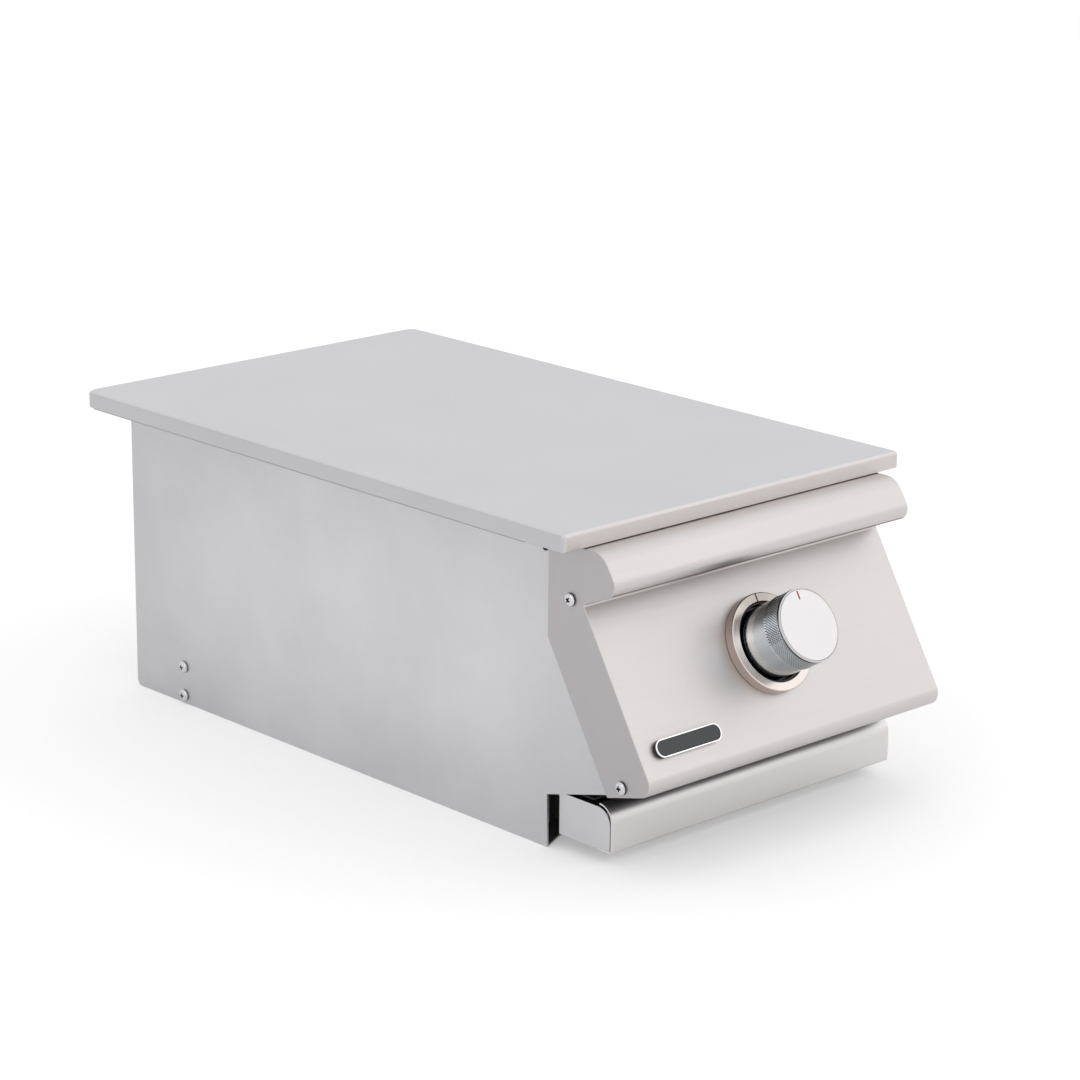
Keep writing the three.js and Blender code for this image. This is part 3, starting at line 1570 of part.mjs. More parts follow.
function burner() {
  const spot = electrodeSpot();
  return group(0, burnerY, burnerHeight, [
    piece('burner_casting', burnerCasting(), brass),
    piece('burner_cap', burnerCap(), brass, 0, 0, headHeight + seat),
    piece('burner_support', burnerSupport(), plainSteel, 0, 0, -burnerPadHeight - seat),
    burnerScrew('burner_screw_left', -1),
    burnerScrew('burner_screw_right', 1),
    piece('electrode_ceramic', electrodeCeramic(), ceramicWhite, spot.x, spot.y),
    piece('electrode_pin', electrodePinRod(), screwSteel, spot.x, spot.y),
    piece('electrode_bracket', igniterBracket(), plainSteel, spot.x, 0, -igniterPlateDepth),
  ]);
}

const unit = group(0, -(bodyFront + bodyRear) / 2, 0, [
  ...chassis(),
  controls(),
  ...gasLine(),
  burner(),
  piece('ignition_lead', ignitionLead(), leadRubber),
  piece('grate', grate(), rodSteel, 0, openingMiddle, ledgeTop + seat),
  piece('cover', cover(), coverSteel, 0, coverDepth / 2, coverFoot),
  ...coverPads(),
  piece('counter_gasket', counterGasket(), gasketFoam, 0, 0, bodyHeight - seat - gasketThickness),
  piece('drip_tray_front', trayFront(), brushedSteel),
  piece('drip_tray_pan', trayPan(), plainSteel, 0, -trayReach + panLead),
]);

export default group(0, 0, 0, [unit]);
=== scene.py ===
# Looks of the built in side burner: its pieces, finishes and stage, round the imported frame.
# Lengths are metres and Z is up. X runs to the right and Y to the back, as in the frame.

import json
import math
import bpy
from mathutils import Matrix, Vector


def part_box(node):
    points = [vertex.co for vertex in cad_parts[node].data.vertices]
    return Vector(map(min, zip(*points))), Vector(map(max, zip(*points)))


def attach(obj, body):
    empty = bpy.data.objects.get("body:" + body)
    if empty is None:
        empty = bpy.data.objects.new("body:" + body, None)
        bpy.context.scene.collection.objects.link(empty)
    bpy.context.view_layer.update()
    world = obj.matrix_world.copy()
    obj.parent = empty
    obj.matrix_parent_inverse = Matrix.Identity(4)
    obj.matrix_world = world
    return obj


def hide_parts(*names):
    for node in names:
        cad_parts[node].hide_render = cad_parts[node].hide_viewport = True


bl_info = {
    "name": "Side burner",
    "version": (1, 0, 0),
    "blender": (4, 5, 0),
    "location": "3D View > Sidebar > Side burner",
    "description": "Pieces, finishes and stage of a built in side burner",
    "category": "Add Mesh",
}

import bmesh
import bpy
from bpy.props import FloatProperty, FloatVectorProperty, IntProperty, PointerProperty
from mathutils import Matrix, Vector

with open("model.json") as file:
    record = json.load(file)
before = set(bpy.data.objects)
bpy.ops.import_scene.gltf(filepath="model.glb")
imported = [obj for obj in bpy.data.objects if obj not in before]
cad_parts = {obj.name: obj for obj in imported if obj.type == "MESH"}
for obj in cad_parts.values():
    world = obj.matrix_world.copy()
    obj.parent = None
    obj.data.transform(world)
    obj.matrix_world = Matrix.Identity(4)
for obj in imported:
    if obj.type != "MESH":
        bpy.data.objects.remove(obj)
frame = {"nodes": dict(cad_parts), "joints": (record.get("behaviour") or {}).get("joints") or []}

MM = 0.001
FULL_TURN = 2 * math.pi
RIGHT_ANGLE = math.pi / 2
DOUBLES = 1e-6  # points nearer than this are one
SIDES = (("left", -1), ("right", 1))
COVER_SHEET = 1.2  # thicknesses in millimetres
FASCIA_SHEET = 1.5
CHEEK_SHEET = 1.2
TRAY_SHEET = 1.2


def linear(hex_colour):
    """An sRGB hex value as the linear colour that shaders take, by the standard's own curve"""
    channels = [int(hex_colour[start:start + 2], 16) / 255 for start in (1, 3, 5)]
    return tuple(
        channel / 12.92 if channel <= 0.04045 else ((channel + 0.055) / 1.055) ** 2.4
        for channel in channels)


# Sizes and colours that a user would change

def length_of(name, description, millimetres):
    return FloatProperty(
        name=name, description=description, default=millimetres * MM, min=0, unit="LENGTH")


def colour_of(name, description, hex_colour):
    return FloatVectorProperty(
        name=name, description=description, subtype="COLOR", size=3, min=0, max=1,
        default=linear(hex_colour))


class SideBurnerShape(bpy.types.PropertyGroup):
    """Sizes of the fine shapes that the frame's plain solids leave out"""

    cover_edge: length_of("Cover edge", "Radius of the rolled edge round the cover's top", 3)
    front_corner: length_of("Front corners", "Radius of the cover's two front corners", 3.3)
    rear_corner: length_of("Rear corners", "Radius of the cover's two rear corners", 10)
    cover_lip: length_of("Cover lip", "Radius of the edge round the cover's open side", 0.5)
    sheet_burr: length_of("Sheet edge", "Width of the broken edge on cut sheet", 0.3)
    cheek_edge: length_of("Cheek edge", "Radius of the ground weld between fascia and cheek", 0.6)
    # The real knurl's points are about 1 mm apart. These are 2 mm apart, or they would not show.
    knurl_columns: IntProperty(
        name="Knurl columns", description="Rows of points round the grip, an even number",
        default=168, min=24)
    knurl_rows: IntProperty(
        name="Knurl rows", description="Rows of points along the grip",
        default=13, min=3)
    knurl_depth: length_of("Knurl depth", "Depth of the knurl's diamonds", 0.45)
    recess_depth: length_of("Screw recess", "Depth of the cross in each screw's head", 2)
    weld_bead: length_of("Weld bead", "Radius of the beads that hold the grate's rods", 2)


class SideBurnerFinish(bpy.types.PropertyGroup):
    """Colours of the finishes"""

    cover: colour_of("Cover", "Satin steel of the cover", "#dadadc")
    # Painted shade: the cover's steel made darker on its side skirts
    cover_side_painted_shade: colour_of("Cover sides", "Side skirts of the cover, plain and darker", "#c9c9cb")
    # Painted reflection: the cover's steel made warmer on its front skirt
    cover_front_painted_reflection: colour_of("Cover front", "Front skirt of the cover, as the fascia", "#d7d1cf")
    # The fascia's steel, its warmer tint a painted reflection
    fascia: colour_of("Fascia", "Satin steel of the fascia", "#d7d3d2")
    # Painted shade on the fold below the brow
    under: colour_of("Under the brow", "Unbrushed steel of the fold below the brow", "#8f8683")
    wall: colour_of("Walls", "Mill finished steel of the walls", "#d9d9db")
    cheek: colour_of("Cheeks", "Blasted steel of the fascia's end plates", "#c0bdbf")
    inner: colour_of("Inside", "Plain sheet inside the box", "#bcbbb9")
    rod: colour_of("Rods", "Polished rod of the grate", "#cfcdca")
    screw: colour_of("Screws", "Bright steel of the screws", "#dcdcde")
    nickel: colour_of("Bezel", "Warm nickel of the bezel", "#e8ded7")
    # Painted shade on the bezel's side
    nickel_side_shade: colour_of("Bezel side", "Darker nickel of the bezel's side", "#c4b6ae")
    knob: colour_of("Knob", "Turned aluminium of the knob", "#e6edf1")
    face: colour_of("Knob face", "Satin aluminium of the knob's face", "#d7d5d5")
    brass: colour_of("Brass", "Cast and turned brass", "#b9985a")
    copper: colour_of("Copper", "Bare copper tube", "#b97a58")
    collar: colour_of("Collar", "Black moulding inside the bezel", "#0d0d0e")
    badge: colour_of("Badge field", "Grey enamel of the blank badge", "#353839")
    badge_rim: colour_of("Badge rim", "Polished rim of the badge", "#f4f4f5")
    # Matt black of painted shade inside the front opening, inside the fascia and below its return
    black: colour_of("Black paint", "Matt paint inside the front opening", "#151516")
    tray_side: colour_of("Tray sides", "Mill finished steel of the tray's side plates", "#dad9db")
    # Painted shade in the screws' crosses and round the rims of their heads
    recess: colour_of("Screw recess", "Punched recess and rim of the screws", "#4a4a4c")
    tray: colour_of("Tray", "Satin steel of the drip tray's front", "#e5e2e2")
    index: colour_of("Index line", "Red enamel of the knob's line", "#b01838")
    ceramic: colour_of("Ceramic", "Glazed ceramic of the electrode", "#ece8df")
    lead: colour_of("Lead", "Silicone sleeve of the ignition lead", "#2a2a2b")
    pad: colour_of("Pads", "Silicone pads under the cover", "#d8d6d2")
    gasket: colour_of("Gasket", "Foam strip on the counter", "#b9b9bb")


# Selecting, drawing and placing

def clear_selection():
    if bpy.context.mode != "OBJECT":
        bpy.ops.object.mode_set(mode="OBJECT")
    bpy.ops.object.select_all(action="DESELECT")


def take(obj):
    """Makes obj the only selected one"""
    clear_selection()
    obj.select_set(True)
    bpy.context.view_layer.objects.active = obj
    return obj


def edit(obj):
    """Opens obj in edit mode with all of its mesh selected"""
    take(obj)
    bpy.ops.object.mode_set(mode="EDIT")
    bpy.ops.mesh.select_mode(type="VERT")
    bpy.ops.mesh.select_all(action="SELECT")


def close_up():
    """Merges doubles, turns every face outwards and leaves edit mode"""
    bpy.ops.mesh.select_all(action="SELECT")
    bpy.ops.mesh.remove_doubles(threshold=DOUBLES)
    bpy.ops.mesh.normals_make_consistent(inside=False)
    bpy.ops.object.mode_set(mode="OBJECT")


def pick(obj, kind, test):
    """Selects in edit mode the vertices, edges or faces for which test holds"""
    bpy.ops.mesh.select_mode(type=kind)
    bpy.ops.mesh.select_all(action="DESELECT")
    mesh = bmesh.from_edit_mesh(obj.data)
    for element in {"VERT": mesh.verts, "EDGE": mesh.edges, "FACE": mesh.faces}[kind]:
        element.select_set(bool(test(element)))
    mesh.select_flush_mode()
    bmesh.update_edit_mesh(obj.data)


def rounded(corners, closed=False, steps=8):
    """Corners, each a place and the radius of its bend, as points with an arc at each bend"""
    points = []
    for index, (x, y, radius) in enumerate(corners):
        here = Vector((x, y))
        if radius <= 0 or (not closed and index in (0, len(corners) - 1)):
            points.append(here)
            continue
        back = (Vector(corners[index - 1][:2]) - here).normalized()
        on = (Vector(corners[(index + 1) % len(corners)][:2]) - here).normalized()
        half = math.acos(max(-1, min(1, back.dot(on)))) / 2
        centre = here + (back + on).normalized() * radius / math.sin(half)
        start = here + back * radius / math.tan(half) - centre
        turn = math.copysign(math.pi - 2 * half, on.cross(back))
        for step in range(steps + 1):
            points.append(centre + Matrix.Rotation(turn * step / steps, 2) @ start)
    return points


def draw(name, points):
    """A line drawn from one vertex, extruded from point to point"""
    clear_selection()
    bpy.ops.mesh.primitive_plane_add(size=MM, location=points[0])
    obj = bpy.context.object
    obj.name = name
    bpy.ops.object.transform_apply()
    edit(obj)
    bpy.ops.mesh.merge(type="CENTER")
    for here, there in zip(points, points[1:]):
        bpy.ops.mesh.extrude_region_move(TRANSFORM_OT_translate={"value": there - here})
    bpy.ops.object.mode_set(mode="OBJECT")
    return obj


def spun(name, corners, steps=96, closed=True, arc_steps=5):
    """A turned piece about Z, from corners of radius and height in millimetres"""
    points = [Vector((x, 0, z)) * MM for x, z in rounded(corners, closed, arc_steps)]
    if closed:
        points.append(points[0])
    obj = draw(name, points)
    edit(obj)
    bpy.ops.mesh.spin(steps=steps, angle=FULL_TURN, center=(0, 0, 0), axis=(0, 0, 1))
    close_up()
    return obj


def plate(name, points, along):
    """A flat plate: an outline filled and extruded along a vector"""
    obj = draw(name, points)
    edit(obj)
    bpy.ops.mesh.edge_face_add()
    bpy.ops.mesh.extrude_region_move(TRANSFORM_OT_translate={"value": along})
    close_up()
    return obj


def bent_sheet(name, line, half_width, thickness):
    """A sheet across X from a line in Y and Z, its outer side to the front, in millimetres"""
    obj = draw(name, [Vector((-half_width, y, z)) * MM for y, z in line])
    edit(obj)
    across = Vector((2 * half_width, 0, 0)) * MM
    bpy.ops.mesh.extrude_region_move(TRANSFORM_OT_translate={"value": across})
    bpy.ops.mesh.select_all(action="SELECT")
    bpy.ops.mesh.normals_make_consistent(inside=False)
    for _ in range(2):  # its outer and its inner side
        obj.data.materials.append(None)
    widest = max(bmesh.from_edit_mesh(obj.data).faces, key=lambda face: face.calc_area())
    if widest.normal.y > 0:
        bpy.ops.mesh.flip_normals()
    return thicken(obj, thickness * MM)


def modified(obj, kind, **settings):
    """Adds a modifier and applies it"""
    take(obj)
    modifier = obj.modifiers.new(kind.title(), kind)
    for name, value in settings.items():
        setattr(modifier, name, value)
    bpy.ops.object.modifier_apply(modifier=modifier.name)
    return obj


def thicken(obj, thickness):
    """Gives a sheet its wall, whose inner side takes the second finish, where there is one"""
    return modified(
        obj, "SOLIDIFY", thickness=thickness, offset=-1, use_even_offset=True,
        material_offset=1)


def soften(obj, width, segments=2, angle=40):
    """Rounds the edges that are sharper than an angle"""
    return modified(
        obj, "BEVEL", width=width, segments=segments, limit_method="ANGLE",
        angle_limit=math.radians(angle), harden_normals=False)


def cut(obj, tool):
    """Cuts a tool's shape out of obj and removes the tool"""
    modified(obj, "BOOLEAN", operation="DIFFERENCE", solver="EXACT", object=tool)
    bpy.data.objects.remove(tool)
    return obj


def smooth(obj, angle=35):
    """Smooths a piece's rounds while its large flat faces keep their own light"""
    take(obj)
    bpy.ops.object.shade_smooth_by_angle(angle=math.radians(angle))
    return modified(obj, "WEIGHTED_NORMAL", keep_sharp=True, weight=100)


def placed(obj, matrix):
    """Moves obj's mesh by a matrix and leaves the object at the origin"""
    take(obj)
    obj.matrix_world = matrix @ obj.matrix_world
    bpy.ops.object.transform_apply()
    return obj


def copied(obj, name):
    """A copy of obj with its own mesh"""
    take(obj)
    bpy.ops.object.duplicate()
    twin = bpy.context.object
    twin.name = name
    return twin


def together(name, objects):
    """Several meshes as one"""
    clear_selection()
    for obj in objects:
        obj.select_set(True)
    bpy.context.view_layer.objects.active = objects[0]
    bpy.ops.object.join()
    whole = bpy.context.object
    whole.name = name
    return whole


def cuboid(name, low, high):
    """A block between two corners in millimetres"""
    clear_selection()
    low, high = Vector(low) * MM, Vector(high) * MM
    bpy.ops.mesh.primitive_cube_add(size=1, location=(low + high) / 2, scale=high - low)
    obj = bpy.context.object
    obj.name = name
    bpy.ops.object.transform_apply()
    return obj


def finished(obj, looks, body, slot, *nodes):
    """Gives a piece its finishes and its body, and hides the nodes that it stands for; slot is not
    used
    """
    looks = (looks,) if isinstance(looks, str) else looks
    slots = obj.data.materials
    while len(slots) < len(looks):
        slots.append(None)
    while len(slots) > len(looks):
        slots.pop()
    for index, look in enumerate(looks):
        slots[index] = finish(look)
    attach(obj, body)
    if nodes:
        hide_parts(*nodes)
    return obj


def merged_copy(node, name):
    """A node's mesh as a piece of its own, its loose triangles joined up"""
    obj = copied(frame["nodes"][node], name)
    for key in list(obj.keys()):
        del obj[key]
    obj.parent = None
    edit(obj)
    bpy.ops.mesh.remove_doubles(threshold=DOUBLES)
    bpy.ops.mesh.dissolve_limited(angle_limit=math.radians(1))
    bpy.ops.object.mode_set(mode="OBJECT")
    return obj


# The control axis, square to the sloping face

def control_frame():
    """Matrix of the control axis: zero on the face, Z out of it and Y up along it"""
    turn = next(joint for joint in frame["joints"] if joint["name"] == "knob_turn")
    out = Vector(turn["axis"]).normalized()
    across = Vector((1, 0, 0))
    turned = Matrix((across, out.cross(across), out)).transposed().to_4x4()
    return Matrix.Translation(turn["pos_m"]) @ turned


CONTROL = control_frame()


def spots_of(node):
    """A node's points in the control frame, in millimetres"""
    inverse = CONTROL.inverted()
    return [inverse @ vertex.co / MM for vertex in frame["nodes"][node].data.vertices]


def reach(node):
    """How a node spans the control axis, in millimetres: least and greatest radius and height"""
    spots = spots_of(node)
    radii = [spot.xy.length for spot in spots]
    heights = [spot.z for spot in spots]
    return min(radii), max(radii), min(heights), max(heights)


# Finishes

def add(tree, kind, sockets=None, **settings):
    """Adds a node, sets it, and fills its sockets with values or links

    A node given for a socket stands for the first of its outputs that is in use.
    """
    node = tree.nodes.new(kind)
    for name, value in settings.items():
        setattr(node, name, value)
    for name, value in (sockets or {}).items():
        if isinstance(value, bpy.types.Node):
            value = next(output for output in value.outputs if output.enabled)
        if isinstance(value, bpy.types.NodeSocket):
            tree.links.new(value, node.inputs[name])
        else:
            node.inputs[name].default_value = value
    return node


def new_material(name):
    material = bpy.data.materials.new(name)
    material.use_nodes = True
    material.node_tree.nodes.clear()
    return material, material.node_tree


def toned(colour, share):
    """A colour made lighter by a share of itself, or darker where the share is negative"""
    return tuple(min(channel * (1 + share), 1) for channel in colour) + (1,)


# Of the sheet's grain and clouds, in millimetres
GRAIN_WIDTH = 0.8  # the real grain is about 0.2 mm wide, and would not show at all
GRAIN_LENGTH = 60
CLOUD_SIZE = 110
CLOUD_RANGE = {"From Min": 0.3, "From Max": 0.7}  # where nearly all of a noise's values lie
# Of the patch of painted light:
PAINTED_LIGHT_EDGE = 0.84  # brightness at the edge of the lighter patch
PAINTED_LIGHT_SPREAD = 0.7  # how near the patch's middle, from 0 to 1, it has its full brightness


def steel_sheet(name, colour, roughness, grain, cloud=0.05, middle=None):
    """Stainless sheet: satin, with a faint grain along one axis and soft clouds in its tone

    middle is the centre and the half lengths of a broad patch of painted light, lightest in its
    middle.
    """
    material, tree = new_material(name)
    place = add(tree, "ShaderNodeTexCoord").outputs["Object"]
    scale = tuple(1 / ((GRAIN_LENGTH if axis == grain else GRAIN_WIDTH) * MM) for axis in "XYZ")
    stretched = add(tree, "ShaderNodeMapping", {"Vector": place, "Scale": scale})
    lines = add(tree, "ShaderNodeTexNoise", {
        "Vector": stretched, "Scale": 1.0, "Detail": 2.0, "Roughness": 0.6})
    clouds = add(tree, "ShaderNodeTexNoise", {
        "Vector": place, "Scale": 1 / (CLOUD_SIZE * MM), "Detail": 4.0, "Roughness": 0.55})
    spread = add(tree, "ShaderNodeMapRange", {"Value": clouds, **CLOUD_RANGE})
    tint = add(tree, "ShaderNodeMix", {
        0: spread, 6: toned(colour, -cloud), 7: toned(colour, cloud)}, data_type="RGBA")
    # Painted light: a broad patch, lighter in its middle and darker towards its edges
    if middle:
        centre, lengths = middle
        patch = add(tree, "ShaderNodeMapping", {
            "Vector": place, "Location": centre, "Scale": lengths}, vector_type="TEXTURE")
        glow = add(tree, "ShaderNodeTexGradient", {"Vector": patch}, gradient_type="SPHERICAL")
        tone = add(tree, "ShaderNodeMapRange", {
            "Value": glow.outputs["Fac"], "From Max": PAINTED_LIGHT_SPREAD, "To Min": PAINTED_LIGHT_EDGE})
        tint = add(tree, "ShaderNodeVectorMath", {0: tint, 1: tone}, operation="MULTIPLY")
    streaks = add(tree, "ShaderNodeMapRange", {"Value": lines, "To Min": -0.06, "To Max": 0.06})
    dull = add(tree, "ShaderNodeMapRange", {
        "Value": clouds, **CLOUD_RANGE, "To Min": roughness - 0.04, "To Max": roughness + 0.04})
    rough = add(tree, "ShaderNodeMath", {0: streaks, 1: dull}, operation="ADD")
    bump = add(tree, "ShaderNodeBump", {
        "Strength": 0.12, "Distance": 0.02 * MM, "Height": lines})
    shader = add(tree, "ShaderNodeBsdfPrincipled", {
        "Base Color": tint, "Metallic": 1.0, "Roughness": rough, "Normal": bump})
    add(tree, "ShaderNodeOutputMaterial", {"Surface": shader})
    return material


# Painted reflections on the knob and the bezel: places round a turn, from the knob's left by way
# of below, and the brightness at each. The first two are the ends of the ramp, which are one
# place.
KNOB_PAINTED_REFLECTION = (
    (0, 0.82), (1, 0.82), (0.07, 0.62), (0.14, 0.46), (0.2, 0.4), (0.3, 0.75), (0.42, 0.35),
    (0.55, 0.8), (0.67, 0.5), (0.77, 0.1), (0.83, 0.13), (0.89, 0.5), (0.95, 1.0),
)
BEZEL_PAINTED_REFLECTION = (
    (0, 1.0), (1, 1.0), (0.15, 0.95), (0.3, 0.9), (0.45, 0.92), (0.62, 0.7), (0.72, 0.5),
    (0.8, 0.55), (0.88, 0.85), (0.95, 1.0),
)
HOLLOW_SHADE = "painted_hollow_shade"  # attribute of painted shade: one where the metal is left lighter, zero in the knurl's hollows and the groove, which painted shade darkens
RING_PITCH = 0.5  # of the tool's marks, in millimetres


def turned_metal(name, colour, roughness, strength=0.15, painted_sweep=(), painted_hollow_shade=False):
    """Turned metal: fine rings round the control axis left by the tool

    The last two arguments paint light: the brightness of a painted reflection at each part of a
    turn, and whether the piece carries the attribute that paints shade into its hollows.
    """
    material, tree = new_material(name)
    place = add(tree, "ShaderNodeTexCoord").outputs["Object"]
    local = add(tree, "ShaderNodeMapping", {
        "Vector": place, "Location": CONTROL.to_translation(), "Rotation": CONTROL.to_euler(),
    }, vector_type="TEXTURE")
    across, up, out = add(tree, "ShaderNodeSeparateXYZ", {0: local}).outputs
    flat = add(tree, "ShaderNodeCombineXYZ", {0: across, 1: up})
    radius = add(tree, "ShaderNodeVectorMath", {0: flat}, operation="LENGTH")
    along = add(tree, "ShaderNodeMath", {
        0: radius.outputs["Value"], 1: out}, operation="ADD")
    rings = add(tree, "ShaderNodeTexNoise", {
        "W": along, "Scale": 1 / (RING_PITCH * MM), "Detail": 1.0}, noise_dimensions="1D")
    tint = add(tree, "ShaderNodeMix", {
        0: rings, 6: toned(colour, -0.03), 7: toned(colour, 0.03)}, data_type="RGBA")
    # Painted reflection: brightness set by the angle round the control axis
    if painted_sweep:
        angle = add(tree, "ShaderNodeMath", {0: up, 1: across}, operation="ARCTAN2")
        turn = add(tree, "ShaderNodeMath", {
            0: angle, 1: 1 / FULL_TURN, 2: 0.5}, operation="MULTIPLY_ADD")
        ramp = add(tree, "ShaderNodeValToRGB", {0: turn})
        stops = ramp.color_ramp
        stops.interpolation = "EASE"
        for index, (spot, level) in enumerate(painted_sweep):
            stop = stops.elements[index] if index < 2 else stops.elements.new(spot)
            stop.position = spot
            stop.color = (level, level, level, 1)
        tint = add(tree, "ShaderNodeVectorMath", {0: tint, 1: ramp}, operation="MULTIPLY")
    # Painted shade: darker in the knurl's hollows and the groove, lighter elsewhere
    if painted_hollow_shade:
        hollow_shade = add(tree, "ShaderNodeAttribute", attribute_name=HOLLOW_SHADE).outputs["Fac"]
        tone = add(tree, "ShaderNodeMapRange", {"Value": hollow_shade, "To Min": 0.66, "To Max": 1.15})
        tint = add(tree, "ShaderNodeVectorMath", {0: tint, 1: tone}, operation="MULTIPLY")
    rough = add(tree, "ShaderNodeMapRange", {
        "Value": rings, "To Min": roughness - 0.05, "To Max": roughness + 0.05})
    bump = add(tree, "ShaderNodeBump", {
        "Strength": strength, "Distance": 0.02 * MM, "Height": rings})
    shader = add(tree, "ShaderNodeBsdfPrincipled", {
        "Base Color": tint, "Metallic": 1.0, "Roughness": rough, "Normal": bump})
    add(tree, "ShaderNodeOutputMaterial", {"Surface": shader})
    return material


TONE_SIZE = 40  # of the soft changes of tone on castings and mouldings, in millimetres


def grainy(name, colour, roughness, grain, depth, metallic=0.0, spread=0.06, coat=0.0):
    """A cast, moulded or foamed surface: an even grain with a soft change of tone

    grain and depth are millimetres.
    """
    material, tree = new_material(name)
    place = add(tree, "ShaderNodeTexCoord").outputs["Object"]
    grains = add(tree, "ShaderNodeTexNoise", {
        "Vector": place, "Scale": 1 / (grain * MM), "Detail": 2.0})
    tones = add(tree, "ShaderNodeTexNoise", {
        "Vector": place, "Scale": 1 / (TONE_SIZE * MM), "Detail": 2.0})
    tint = add(tree, "ShaderNodeMix", {
        0: tones, 6: toned(colour, -spread), 7: toned(colour, spread)}, data_type="RGBA")
    rough = add(tree, "ShaderNodeMapRange", {
        "Value": grains, "To Min": roughness - 0.06, "To Max": roughness + 0.06})
    bump = add(tree, "ShaderNodeBump", {
        "Strength": 0.3, "Distance": depth * MM, "Height": grains})
    shader = add(tree, "ShaderNodeBsdfPrincipled", {
        "Base Color": tint, "Metallic": metallic, "Roughness": rough, "Normal": bump,
        "Coat Weight": coat})
    add(tree, "ShaderNodeOutputMaterial", {"Surface": shader})
    return material


# Painted light on the walls: centre and half lengths of a patch that is lighter in its middle and
# darker towards the rear, top and bottom
WALL_PAINTED_LIGHT = (Vector((0, -50, 105)) * MM, Vector((3000, 350, 165)) * MM)


